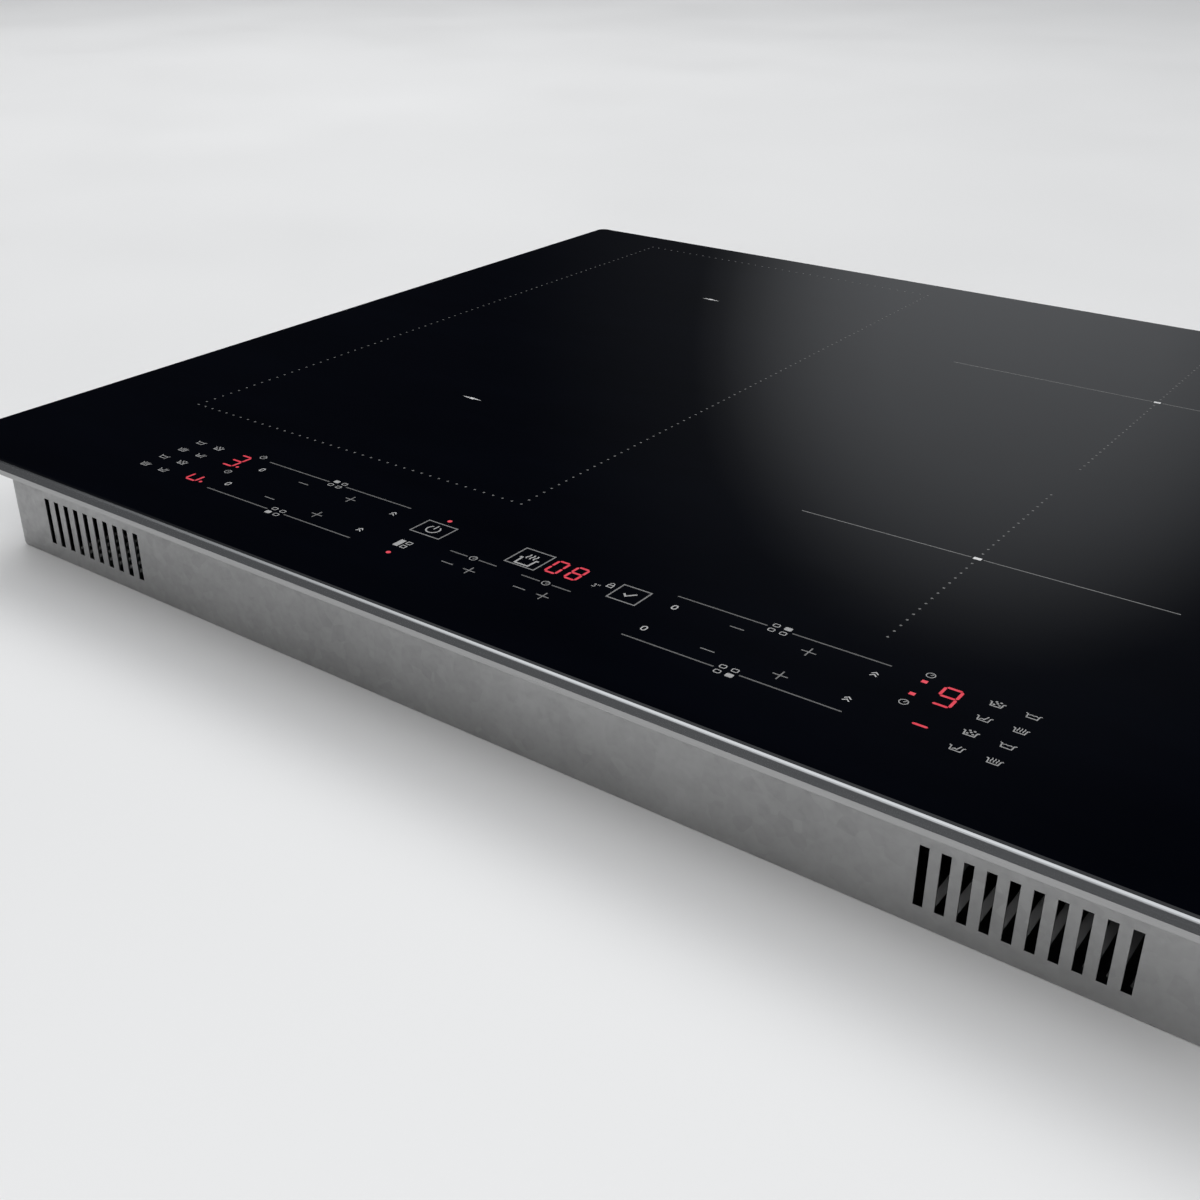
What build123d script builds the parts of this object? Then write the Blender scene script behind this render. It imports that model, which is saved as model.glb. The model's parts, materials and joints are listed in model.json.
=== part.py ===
from build123d import *
import math
import os

# Built-in induction hob, millimetres. X runs along the front edge, Y from front to rear, Z up.
# The origin is the middle of the outline, on the underside of the lower pan.

# ---- driving dimensions ----
HOB_WIDTH = 590.0
HOB_DEPTH = 510.0
HOB_HEIGHT = 54.0
GLASS = 4.0                 # glass thickness
GLASS_ARRIS = 0.6
GLASS_CORNER_R = 5.0
BEVEL_WIDTH = 0.9           # ground bevel of the glass along the front trim
BEVEL_DROP = 0.25
TRIM_LIP = 1.4              # polished lip of the front trim, sloping down to its chamfer
TRIM_LIP_DROP = 0.35
TRIM_CHAMFER = 2.0
TRIM_LEG = 1.2              # thickness of the trim's leg under the glass
TRIM_LEG_REACH = 4.5
SEAL_DROP = 1.3             # the seal's thickness under the glass
SEAL_WIDTH = 6.0
RIM_INSET = 5.0             # glass edge to seal, on the sides and rear
PAN_WIDTH = 550.0           # goes through a 560 x 480 cut-out
PAN_DEPTH = 470.0
PAN_TOP = 47.0
PAN_CORNER_R = 5.0
SHEET = 0.7                 # pan sheet steel
PAN_BEND_R = 1.7            # outer radius of the fold between floor and walls
RAIL = 1.0                  # rail sheet steel
RAIL_LEG = 9.0
RAIL_TOP = 49.2
RAIL_BOTTOM = 35.0
BEAD_INSET = 1.5
BEAD_WIDTH = 6.0
CASE_SCREW_R = 1.95
CASE_SCREW_Z = 41.0
CASE_SCREW_X = (-200.0, -100.0, 100.0, 200.0)
CASE_SCREW_Y = (-90.0, 90.0)
AIR_SLOT = 3.2              # width of every air slot
AIR_SLOT_PITCH = 7.0
RIB_R = 3.5                 # pressed stiffening rib, radius and depth of its centre
RIB_SINK = 1.5
RIBS = (                    # start and end of each rib on the floor
    ((-170.0, -198.0), (170.0, -198.0)),
    ((-235.0, -171.0), (235.0, -171.0)),
    ((0.0, -145.0), (0.0, 80.0)),
)
FRONT_SLOTS = 10            # outlet slots in front of each heatsink
FRONT_SLOT_Z = (8.0, 30.0)
FLOOR_SLOT_SETBACK = (12.0, 40.0)
REAR_SLOTS = 7
REAR_SLOT_Z = (12.0, 28.0)
REAR_SLOT_SHIFT = 60.0      # from the blower's axis towards the middle
INTAKE_SLOTS = 7
INTAKE_ROW = 12.0           # blower's axis to each of the two rows
INTAKE_SLOT_LENGTH = 20.0
COIL_PLATE_Z = 38.0
COIL_PLATE = 1.5
COIL_PLATE_INNER_X = 12.0
COIL_PLATE_OUTER_X = 268.0
COIL_PLATE_FRONT = -166.0
COIL_PLATE_REAR = 226.0
FERRITE = 4.0
FERRITE_WIDTH = 11.0
FORMER_FLOOR = 1.8
FORMER_RIM = 4.0
LITZ_HEIGHT = 3.6
LITZ_WIDTH = 2.5
LITZ_PITCH = 2.9
COIL_INNER_R = 21.0
HUB_R = 15.0
HUB_WALL = 3.0
SENSOR_R = 7.0
MICA = 0.5
MICA_TOP = 49.8
MICA_MARGIN = 4.0
MICA_X = 135.3
BOARD_Z = 8.0
BOARD = 1.6                 # circuit board thickness
BOARD_HALF = 109.0          # inverter board's half width
BOARD_X = 141.0
BOARD_FRONT = -138.0
BOARD_REAR = 92.0
TRAY = 2.0
PILLAR_TOP = 30.0
TRAY_X = (14.0, 268.0)
TRAY_Y = (-154.0, 96.0)
PILLAR = 12.0
PILLAR_LENGTH = 36.0
PILLAR_Y = (-146.0, 60.0)
PILLAR_X = (25.0, 259.0)
SPACER_R = 3.5
SPACER_SCREW_R = 1.5
FILTER_HALF = 62.0
FILTER_FRONT = 114.0
FILTER_REAR = 190.0
HEATSINK_X = 215.0
HEATSINK_Z = 14.6
HEATSINK_TOP = 34.0
FAN_X = 215.0
FAN_Y = 165.0
FAN_R = 42.0
FAN_TOP = 26.0
FAN_WALL = 1.5
NOZZLE_HALF = 25.0
NOZZLE_REACH = 66.0
INLET_R = 26.0
SHAFT_R = 2.0
RUNNING_GAP = 0.05          # radial clearance of a shaft or pin in its hole
BLADES = 28
CLIP_Y = 150.0
CLIP_WIDTH = 20.0
CLIP = 0.6                  # spring clip strip
CLIP_HINGE_Z = 13.3
CLIP_BULGE_X = 281.8
CLIP_BULGE_Z = (34.0, 38.0)
CLIP_TAIL = 4.5             # the strip's end hanging inside the wall
CLIP_TIP_Z = 45.5
CLIP_KNUCKLE_R = 1.0        # rolled bead that the clip turns on in its slot
CLIP_BEND = 0.9
HINGE_Y = 237.3             # terminal cover's hinge axis
HINGE_Z = 4.2
HINGE_PIN_R = 1.2
HINGE_EYE_R = 1.9
EAR_X = 44.0
EAR_HALF = 2.0
TERMINAL_HALF = 50.0        # terminal box, half width
TERMINAL_WALL = 2.0
TERMINAL_BOTTOM = 5.0
TERMINAL_TOP = 33.0
TERMINAL_FRONT = 201.0
TERMINAL_FACE = 217.0       # front face of the terminal block, towards the flap
TERMINAL_PITCH = 15.0
TERMINAL_WAYS = (-30.0, -15.0, 0.0, 15.0, 30.0)
TERMINAL_SCREW_Z = 20.0
TERMINAL_SCREW_R = 2.0
GLAND_X = 80.0
GLAND_Z = 18.0
GLAND_BORE_R = 6.0
GLAND_BODY_R = 8.5
GLAND_NOTCH_HALF = 8.7       # square notch of the rear wall that the gland slides down
GLAND_PLATE_HALF = 11.0
GLAND_PLATE_TOP = 34.6      # just under the rear rail
GLAND_Y = (223.0, 239.0)
GLAND_NUT = 5.0
WIRE_HOLE_R = 5.0           # from the gland into the terminal box
WIRE_HOLE_Y = 224.0
CARRIER_FRONT = -222.0
CARRIER_REAR = -174.0
CARRIER_HALF = 209.0
CONTROL_Y = -200.0          # middle line of the printed controls
SLIDER_OFFSET = 12.0
SLIDER_LEFT = (-151.5, -68.0)
SLIDER_RIGHT = (61.5, 145.2)
UI_BOARD_Z = 43.4
DISPLAY_TOP = 49.7
LEAD_R = 1.5

# ---- levels and edges worked out from them ----
FRONT = -HOB_DEPTH / 2
REAR = HOB_DEPTH / 2
SIDE = HOB_WIDTH / 2
GLASS_Z = HOB_HEIGHT - GLASS
GLASS_FRONT = FRONT + TRIM_CHAMFER + TRIM_LIP
SEAT_Z = GLASS_Z - SEAL_DROP
PAN_X = PAN_WIDTH / 2
PAN_Y = PAN_DEPTH / 2
FERRITE_Z = COIL_PLATE_Z + COIL_PLATE
FORMER_Z = FERRITE_Z + FERRITE
WINDING_Z = FORMER_Z + FORMER_FLOOR
BOARD_TOP = BOARD_Z + BOARD
TRAY_TOP = SHEET + TRAY
UI_BOARD_TOP = UI_BOARD_Z + BOARD

SIDES = (("left", -1), ("right", 1))
# name, middle, outer radius of the winding, number of ferrite bars
ZONES = (
    ("left_front", -135.4, -67.7, 80.0, 8),
    ("left_rear", -135.4, 141.7, 80.0, 8),
    ("right_front", 135.2, -90.3, 62.0, 6),
    ("right_rear", 135.2, 123.5, 94.0, 10),
)


# ---- small helpers ----
def block(x0, x1, y0, y1, z0, z1):
    middle = Pos((x0 + x1) / 2, (y0 + y1) / 2, (z0 + z1) / 2)
    return middle * Box(abs(x1 - x0), abs(y1 - y0), abs(z1 - z0))


def centred(x, y, width, depth, z0, z1):
    return Pos(x, y, (z0 + z1) / 2) * Box(width, depth, z1 - z0)


def rod(x, y, z0, z1, radius):
    return Pos(x, y, (z0 + z1) / 2) * Cylinder(radius, z1 - z0)


def rod_along_x(x0, x1, y, z, radius):
    return Pos((x0 + x1) / 2, y, z) * Rot(0, 90, 0) * Cylinder(radius, abs(x1 - x0))


def rod_along_y(x, y0, y1, z, radius):
    return Pos(x, (y0 + y1) / 2, z) * Rot(90, 0, 0) * Cylinder(radius, abs(y1 - y0))


def frame_ring(x_half, y_front, y_rear, width, z0, z1):
    """Flat rectangular frame whose bars have this width."""
    outer = block(-x_half, x_half, y_front, y_rear, z0, z1)
    inner = block(width - x_half, x_half - width, y_front + width, y_rear - width, z0, z1)
    return outer - inner


def extrude_along_x(points, x0, x1):
    """Prism with this outline in Y and Z."""
    profile = Plane.YZ * make_face(Polyline(*points, close=True))
    return Pos(x0, 0, 0) * extrude(profile, x1 - x0)


def spread(first, last, count):
    step = (last - first) / (count - 1)
    return [first + step * i for i in range(count)]


def group(shapes):
    return Compound([solid for shape in shapes for solid in shape.solids()])


def save(shape, node):
    export_step(shape, f"parts/{node}.step")


def screw(head_r, head_h, shank_r, shank_l):
    """Pan-head screw standing on Z = 0, its shank below, with a cross recess."""
    head = Pos(0, 0, head_h / 2) * Cylinder(head_r, head_h)
    head = fillet(head.edges().group_by(Axis.Z)[-1], head_h * 0.4)
    slot = Pos(0, 0, head_h) * Box(head_r * 1.1, head_r * 0.28, head_h)
    shank = Pos(0, 0, -shank_l / 2) * Cylinder(shank_r, shank_l)
    return head - slot - Rot(0, 0, 90) * slot + shank


# ---- glass, trim, seal and the frame bonded under the glass ----
def glass_top():
    plate = block(-SIDE, SIDE, GLASS_FRONT, REAR, GLASS_Z, HOB_HEIGHT)
    rear_corners = plate.edges().filter_by(Axis.Z).group_by(Axis.Y)[-1]
    plate = fillet(rear_corners, GLASS_CORNER_R)
    top_edges = plate.faces().sort_by(Axis.Z)[-1].edges()
    plate = chamfer(top_edges.sort_by(Axis.Y)[1:], GLASS_ARRIS)
    slope = BEVEL_DROP / BEVEL_WIDTH
    bevel = [
        (GLASS_FRONT - 1, HOB_HEIGHT + 1),
        (GLASS_FRONT - 1, HOB_HEIGHT - BEVEL_DROP - slope),
        (GLASS_FRONT + BEVEL_WIDTH, HOB_HEIGHT),
        (GLASS_FRONT + BEVEL_WIDTH, HOB_HEIGHT + 1),
    ]
    return plate - extrude_along_x(bevel, -SIDE - 1, SIDE + 1)


def front_trim():
    lip_z = HOB_HEIGHT - BEVEL_DROP
    profile = [
        (GLASS_FRONT, lip_z),
        (GLASS_FRONT - TRIM_LIP, lip_z - TRIM_LIP_DROP),
        (FRONT, lip_z - TRIM_LIP_DROP - TRIM_CHAMFER),
        (FRONT, GLASS_Z - TRIM_LEG),
        (GLASS_FRONT + TRIM_LEG_REACH, GLASS_Z - TRIM_LEG),
        (GLASS_FRONT + TRIM_LEG_REACH, GLASS_Z),
        (GLASS_FRONT, GLASS_Z),
    ]
    return extrude_along_x(profile, -SIDE, SIDE)


def worktop_seal():
    front = GLASS_FRONT + TRIM_LEG_REACH + 0.5
    return frame_ring(SIDE - RIM_INSET, front, REAR - RIM_INSET, SEAL_WIDTH, SEAT_Z, GLASS_Z)


def bonding_bead():
    x_half = PAN_X - BEAD_INSET
    y_half = PAN_Y - BEAD_INSET
    return frame_ring(x_half, -y_half, y_half, BEAD_WIDTH, RAIL_TOP, GLASS_Z)


def case_screw_holes():
    reach = 12
    holes = []
    for _, side in SIDES:
        wall_y = side * PAN_Y
        wall_x = side * PAN_X
        for x in CASE_SCREW_X:
            holes.append(rod_along_y(x, wall_y - reach, wall_y + reach, CASE_SCREW_Z, CASE_SCREW_R))
        for y in CASE_SCREW_Y:
            holes.append(rod_along_x(wall_x - reach, wall_x + reach, y, CASE_SCREW_Z, CASE_SCREW_R))
    return holes


def long_rail(side):
    """Angle rail under the front (-1) or rear (+1) edge of the glass."""
    half = PAN_X + RAIL
    wall = side * PAN_Y
    outer = wall + side * RAIL
    leg = block(-half, half, wall, outer, RAIL_BOTTOM, RAIL_TOP)
    flange = block(-half, half, outer, outer - side * RAIL_LEG, RAIL_TOP - RAIL, RAIL_TOP)
    return leg + flange - case_screw_holes()


def short_rail(side):
    """Angle rail under the left (-1) or right (+1) edge, between the long rails."""
    end = PAN_Y + RAIL - RAIL_LEG - 0.5
    wall = side * PAN_X
    outer = wall + side * RAIL
    leg = block(wall, outer, -end, end, RAIL_BOTTOM, RAIL_TOP)
    flange = block(outer, outer - side * RAIL_LEG, -end, end, RAIL_TOP - RAIL, RAIL_TOP)
    return leg + flange - case_screw_holes()


def case_screws():
    one = screw(3.8, 2.2, CASE_SCREW_R, 6.0)
    placed = []
    for x in CASE_SCREW_X:
        placed.append(Pos(x, -PAN_Y - RAIL, CASE_SCREW_Z) * Rot(90, 0, 0) * one)
        placed.append(Pos(x, PAN_Y + RAIL, CASE_SCREW_Z) * Rot(-90, 0, 0) * one)
    for y in CASE_SCREW_Y:
        placed.append(Pos(-PAN_X - RAIL, y, CASE_SCREW_Z) * Rot(0, -90, 0) * one)
        placed.append(Pos(PAN_X + RAIL, y, CASE_SCREW_Z) * Rot(0, 90, 0) * one)
    return group(placed)


# ---- lower pan ----
def rib(start, end, radius):
    """Round bar with ball ends, whose upper part is a pressed rib."""
    length = math.dist(start, end)
    turn = math.degrees(math.atan2(end[1] - start[1], end[0] - start[0]))
    bar = Rot(0, 90, 0) * Cylinder(radius, length)
    ends = [Pos(side * length / 2, 0, 0) * Sphere(radius) for _, side in SIDES]
    middle = Pos((start[0] + end[0]) / 2, (start[1] + end[1]) / 2, -RIB_SINK)
    return middle * Rot(0, 0, turn) * (bar + ends)


def intake_slots():
    """Two rows of slots in the floor under each blower."""
    slots = []
    reach = (INTAKE_SLOTS - 1) / 2 * AIR_SLOT_PITCH
    for _, side in SIDES:
        for x in spread(-reach, reach, INTAKE_SLOTS):
            for row in (-INTAKE_ROW, INTAKE_ROW):
                at = side * FAN_X + x
                slots.append(centred(at, FAN_Y + row, AIR_SLOT, INTAKE_SLOT_LENGTH, -1, SHEET + 1))
    return slots


def exhaust_slots():
    """Slots in the front wall and in the floor behind it, in front of each heatsink."""
    slots = []
    reach = (FRONT_SLOTS - 1) / 2 * AIR_SLOT_PITCH
    near, far = FLOOR_SLOT_SETBACK
    for _, side in SIDES:
        for x in spread(-reach, reach, FRONT_SLOTS):
            left = side * HEATSINK_X + x - AIR_SLOT / 2
            right = left + AIR_SLOT
            slots.append(block(left, right, -PAN_Y - 1, 1 - PAN_Y, *FRONT_SLOT_Z))
            slots.append(block(left, right, near - PAN_Y, far - PAN_Y, -1, SHEET + 1))
    return slots


def rear_slots():
    """A few slots high in the rear wall beside each blower."""
    slots = []
    reach = (REAR_SLOTS - 1) / 2 * AIR_SLOT_PITCH
    for _, side in SIDES:
        for x in spread(-reach, reach, REAR_SLOTS):
            left = side * (FAN_X - REAR_SLOT_SHIFT) + x - AIR_SLOT / 2
            slots.append(block(left, left + AIR_SLOT, PAN_Y - 1, PAN_Y + 1, *REAR_SLOT_Z))
    return slots


def gland_block(half, y0, y1, z0, z1):
    """Block about the gland's middle line, with this half width."""
    return block(GLAND_X - half, GLAND_X + half, y0, y1, z0, z1)


def wall_openings():
    """Window, ear notches and gland notch in the rear wall, and the clip slots in the side walls."""
    inner = TERMINAL_HALF - TERMINAL_WALL
    low = TERMINAL_BOTTOM + TERMINAL_WALL
    ear_low = HINGE_Z - HINGE_EYE_R - 0.5
    cuts = [block(-inner, inner, PAN_Y - 2, PAN_Y + 1, low, TERMINAL_TOP - TERMINAL_WALL)]
    notch_low = GLAND_Z - GLAND_NOTCH_HALF
    cuts.append(gland_block(GLAND_NOTCH_HALF, PAN_Y - 2, PAN_Y + 1, notch_low, PAN_TOP + 1))
    slot_half = CLIP_WIDTH / 2 + 1
    slot_z = (CLIP_HINGE_Z - 1.5, CLIP_HINGE_Z + 1.5)
    for _, side in SIDES:
        ear = side * EAR_X
        wall = side * PAN_X
        cuts.append(block(ear - EAR_HALF, ear + EAR_HALF, PAN_Y - 2, PAN_Y + 1, ear_low, low))
        for y in (-CLIP_Y, CLIP_Y):
            cuts.append(block(wall - 2, wall + 2, y - slot_half, y + slot_half, *slot_z))
    return cuts


def rounded_tub(inset, top):
    """Solid with the pan's rounded corners and folds, smaller by this inset on every face."""
    x_half, y_half = PAN_X - inset, PAN_Y - inset
    tub = block(-x_half, x_half, -y_half, y_half, inset, top)
    tub = fillet(tub.edges().filter_by(Axis.Z), PAN_CORNER_R - inset)
    floor_edges = tub.faces().sort_by(Axis.Z)[0].edges()
    return fillet(floor_edges, PAN_BEND_R - inset)


def lower_pan():
    """Pressed steel pan with ribs, air slots, and the openings for clips, terminals and gland."""
    pan = rounded_tub(0, PAN_TOP) - rounded_tub(SHEET, PAN_TOP + 1)
    above_floor = block(-PAN_X, PAN_X, -PAN_Y, PAN_Y, SHEET / 2, PAN_TOP)
    for start, end in RIBS:
        pan = pan + (rib(start, end, RIB_R + SHEET) & above_floor)
    for start, end in RIBS:
        pan = pan - rib(start, end, RIB_R)
    cuts = intake_slots() + exhaust_slots() + rear_slots() + wall_openings() + case_screw_holes()
    return pan - cuts


# ---- spring clips that hold the hob in the worktop ----
def spring_clip(side, y):
    """Bent strip hooked through a slot of the side wall, bulging past the cut-out's edge."""
    tail_x = PAN_X - SHEET - 1.1
    bulge_x = CLIP_BULGE_X - CLIP / 2
    bulge_low, bulge_high = CLIP_BULGE_Z
    half = CLIP_WIDTH / 2
    path = FilletPolyline(
        (tail_x, CLIP_HINGE_Z - CLIP_TAIL),
        (tail_x, CLIP_HINGE_Z),
        (PAN_X + 2.2, CLIP_HINGE_Z),
        (bulge_x, bulge_low),
        (bulge_x, bulge_high),
        (PAN_X + RAIL + 3.9, CLIP_TIP_Z),
        radius=CLIP_BEND,
    )
    strip = extrude(Plane.XZ * trace(path, CLIP), half, both=True)
    knuckle = rod_along_y(PAN_X - SHEET / 2, -half, half, CLIP_HINGE_Z, CLIP_KNUCKLE_R)
    strip = Pos(0, y, 0) * (strip + knuckle)
    return strip if side > 0 else mirror(strip, about=Plane.YZ)


# ---- coils ----
def rods_at_coils(side_name, z0, z1, radius):
    """An upright rod in the middle of each of this side's coils."""
    return [rod(x, y, z0, z1, radius) for zone, x, y, _, _ in ZONES if side_name in zone]


def coil_plate(name, side):
    """Aluminium plate under one side's coils, with lead holes and a hole at each sensor."""
    x0 = side * COIL_PLATE_INNER_X
    x1 = side * COIL_PLATE_OUTER_X
    z1 = COIL_PLATE_Z + COIL_PLATE
    through = (COIL_PLATE_Z - 1, z1 + 1)
    plate = block(x0, x1, COIL_PLATE_FRONT, COIL_PLATE_REAR, COIL_PLATE_Z, z1)
    plate = fillet(plate.edges().filter_by(Axis.Z), 6)
    holes = [rod(x, y, *through, LEAD_R + 1) for x, y in lead_points(name)]
    holes += rods_at_coils(name, *through, HUB_R - HUB_WALL)
    edge_slots = [
        centred(x0 + side * 9, y, 7, 40, *through)
        for y in (-90, 0, 90)
    ]
    return plate - holes - edge_slots


def coil_former(x, y, radius, bars):
    """Plastic dish under the winding, with a hub for the sensor and feet between the ferrite bars."""
    outer = radius + FORMER_RIM
    dish = rod(x, y, FORMER_Z, WINDING_Z + LITZ_HEIGHT, outer)
    dish = dish - rod(x, y, WINDING_Z, WINDING_Z + LITZ_HEIGHT + 1, outer - 1.5)
    hub = rod(x, y, FERRITE_Z, WINDING_Z + LITZ_HEIGHT, HUB_R)
    windows = []
    for i in range(12):
        arm = Pos(x, y, FORMER_Z + FORMER_FLOOR / 2) * Rot(0, 0, 30 * i + 15)
        windows.append(arm * Pos(radius * 0.62, 0, 0) * Box(radius * 0.4, 8, 3 * FORMER_FLOOR))
    feet = []
    for i in range(bars // 2):
        foot = Pos(x, y, (FERRITE_Z + FORMER_Z) / 2) * Rot(0, 0, (720 * i + 180) / bars)
        feet.append(foot * Pos(outer - 3, 0, 0) * Cylinder(2.5, FERRITE))
    former = dish + hub - windows + feet
    return former - rod(x, y, FERRITE_Z - 1, HOB_HEIGHT, HUB_R - HUB_WALL)


def coil_winding(x, y, radius):
    """Flat spiral of litz wire, made of half circles about two centres."""
    turns = int((radius - COIL_INNER_R) / LITZ_PITCH)
    half = LITZ_WIDTH / 2
    inner_edge = []
    outer_edge = []
    for k in range(2 * turns):
        centre = (0 if k % 2 == 0 else LITZ_PITCH / 2, 0)
        mean = COIL_INNER_R + half + k * LITZ_PITCH / 2
        start = 180 * (k % 2)
        outer_edge.append(CenterArc(centre, mean + half, start, 180))
        inner_edge.append(CenterArc(centre, mean - half, start, 180))
    caps = [
        Line(inner_edge[0] @ 0, outer_edge[0] @ 0),
        Line(inner_edge[-1] @ 1, outer_edge[-1] @ 1),
    ]
    strip = make_face(outer_edge + inner_edge + caps)
    return Pos(x, y, WINDING_Z) * extrude(strip, LITZ_HEIGHT)


def ferrite_bars():
    bars = []
    for _, x, y, radius, count in ZONES:
        length = radius - HUB_R - 5
        for i in range(count):
            arm = Pos(x, y, (FERRITE_Z + FORMER_Z) / 2) * Rot(0, 0, 360 / count * i)
            bars.append(arm * Pos(HUB_R + 7 + length / 2, 0, 0) * Box(length, FERRITE_WIDTH, FERRITE))
    return group(bars)


def insulation_sheet(name, side):
    """Mica sheet between one side's coils and the glass."""
    coils = [(x, y, radius + FORMER_RIM) for zone, x, y, radius, _ in ZONES if name in zone]
    reach = max(outer for _, _, outer in coils) + MICA_MARGIN
    middle = side * MICA_X
    front = min(y - outer for _, y, outer in coils) - MICA_MARGIN
    sheet = block(middle - reach, middle + reach, front, COIL_PLATE_REAR, MICA_TOP - MICA, MICA_TOP)
    sheet = fillet(sheet.edges().filter_by(Axis.Z), 8)
    return sheet - rods_at_coils(name, GLASS_Z - 2, GLASS_Z, SENSOR_R + 1)


def temperature_sensors():
    """Sensor buttons that press on the glass in the middle of each coil, each with its stem."""
    sensors = []
    button_z = 46.0
    stem_r = 4.0
    for _, x, y, _, _ in ZONES:
        stem = rod(x, y, FERRITE_Z, button_z, stem_r)
        sensors.append(stem + rod(x, y, button_z, MICA_TOP, SENSOR_R))
    return group(sensors)


def plate_springs():
    """Bowed leaf springs on the board trays' pillars, which press the coil plates up."""
    rise = COIL_PLATE_Z - PILLAR_TOP
    half = 17.0
    thick = 0.6
    springs = []
    bow = ThreePointArc((-half, thick / 2), (0, rise - thick / 2), (half, thick / 2))
    leaf = extrude(Plane.YZ * trace(bow, thick), PILLAR / 2 - 1, both=True)
    for _, side in SIDES:
        for x in PILLAR_X:
            for y in PILLAR_Y:
                springs.append(Pos(side * x, y, PILLAR_TOP) * leaf)
    return group(springs)


def lead_points(side_name):
    """Where the coil leads go down through a coil plate, one pair for each coil."""
    side = dict(SIDES)[side_name]
    rows = {"left": (32.0, 44.0), "right": (-6.0, 8.0)}[side_name]
    return [(side * x, y) for x in (122.0, 150.0) for y in rows]


def coil_leads():
    """Insulated leads, from the coil plates down to their tabs on the inverter boards."""
    leads = []
    for name, side in SIDES:
        for x, y in lead_points(name):
            bend = side * (16 if abs(x) > BOARD_X else -16)
            path = FilletPolyline(
                (x, y, FERRITE_Z + 2),
                (x, y, 25),
                (x + bend, y, 21),
                (x + bend, y, BOARD_TOP + 6),
                radius=5,
            )
            start = Plane(origin=path @ 0, z_dir=path % 0)
            wire = sweep(start * Circle(LEAD_R), path)
            tab = centred(x + bend, y, 6.4, 0.8, BOARD_TOP, BOARD_TOP + 6)
            leads.append(wire)
            leads.append(tab)
    return group(leads)


# ---- boards and what stands on them ----
def board_tray(side):
    """Insulating plastic sheet under an inverter board, with four pillars for the leaf springs."""
    tray = block(side * TRAY_X[0], side * TRAY_X[1], *TRAY_Y, SHEET, TRAY_TOP)
    pillars = []
    for x in PILLAR_X:
        for y in PILLAR_Y:
            pillars.append(centred(side * x, y, PILLAR, PILLAR_LENGTH, SHEET, TRAY_TOP + TRAY))
            pillars.append(centred(side * x, y, PILLAR - 3, PILLAR_LENGTH, TRAY_TOP, PILLAR_TOP))
    tray = tray + pillars
    return tray - [rod(x, y, 0, TRAY_TOP + 1, SPACER_R) for x, y in spacer_points()]


def spacer_points():
    """The corners and middle edges of the inverter boards, and the filter board's corners."""
    points = []
    for _, side in SIDES:
        for x in (BOARD_X - BOARD_HALF + 8, BOARD_X + BOARD_HALF - 8):
            for y in (BOARD_FRONT + 22, 22, BOARD_REAR - 8):
                points.append((side * x, y))
        for y in (FILTER_FRONT + 7, FILTER_REAR - 7):
            points.append((side * (FILTER_HALF - 7), y))
    return points


def board_spacers():
    return group([
        rod(x, y, SHEET, BOARD_Z, SPACER_R) - rod(x, y, BOARD_Z - 5, BOARD_Z, SPACER_SCREW_R)
        for x, y in spacer_points()
    ])


def board_screws():
    one = screw(3.0, 2.0, SPACER_SCREW_R, 6.0)
    return group([Pos(x, y, BOARD_TOP) * one for x, y in spacer_points()])


def drilled(board):
    return board - [rod(x, y, BOARD_Z - 1, BOARD_TOP + 1, SPACER_SCREW_R) for x, y in spacer_points()]


def power_board(side):
    middle = side * BOARD_X
    board = block(middle - BOARD_HALF, middle + BOARD_HALF, BOARD_FRONT, BOARD_REAR, BOARD_Z, BOARD_TOP)
    notches = [
        centred(side * x, y, PILLAR + 3, PILLAR_LENGTH + 6, BOARD_Z - 1, BOARD_TOP + 1)
        for x in PILLAR_X
        for y in PILLAR_Y
    ]
    return drilled(board) - notches


def filter_board():
    return drilled(block(-FILTER_HALF, FILTER_HALF, FILTER_FRONT, FILTER_REAR, BOARD_Z, BOARD_TOP))


def heatsink(side):
    """Finned aluminium bar over the transistors, in line with the blower's outlet."""
    x = side * HEATSINK_X
    width, base = 58.0, 4.0
    front, rear = -106.0, 66.0
    sink = block(x - width / 2, x + width / 2, front, rear, HEATSINK_Z, HEATSINK_Z + base)
    fins = [
        block(x + at - 0.9, x + at + 0.9, front, rear, HEATSINK_Z, HEATSINK_TOP)
        for at in spread(-width / 2 + 0.9, width / 2 - 0.9, 10)
    ]
    return sink + fins


def power_transistors(side):
    """Flat packages clamped between board and heatsink, with their three legs."""
    packages = []
    length, width, leg_length, leg_width, leg_height = 20.0, 16.0, 12.0, 1.2, 0.8
    leg_x = HEATSINK_X - (length + leg_length) / 2
    for y in spread(-88, 40, 5):
        body = centred(side * HEATSINK_X, y, length, width, BOARD_TOP, HEATSINK_Z)
        hole = rod(side * (HEATSINK_X + 5), y, BOARD_TOP - 1, HEATSINK_Z + 1, 1.7)
        legs = [
            centred(side * leg_x, y + at, leg_length, leg_width, BOARD_TOP, BOARD_TOP + leg_height)
            for at in (-5, 0, 5)
        ]
        packages.append(body - hole + legs)
    return group(packages)


def film_capacitors(side):
    """Large resonance capacitors in the middle of the inverter board, and small ones beside them."""
    cans = []
    row = (-112, -84, -56, -28)
    large = [centred(side * 128, y, 42, 22, BOARD_TOP, 32) for y in row]
    small = [centred(side * 82, y, 26, 14, BOARD_TOP, 24) for y in (*row, 60)]
    for can in large + small:
        cans.append(fillet(can.edges().filter_by(Axis.Z), 1.5))
    return group(cans)


def relays():
    bodies = []
    for _, side in SIDES:
        for y in (-96, -60, -24):
            body = centred(side * 50, y, 13, 29, BOARD_TOP, 25)
            bodies.append(chamfer(body.edges().group_by(Axis.Z)[-1], 0.8))
    return group(bodies)


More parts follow.
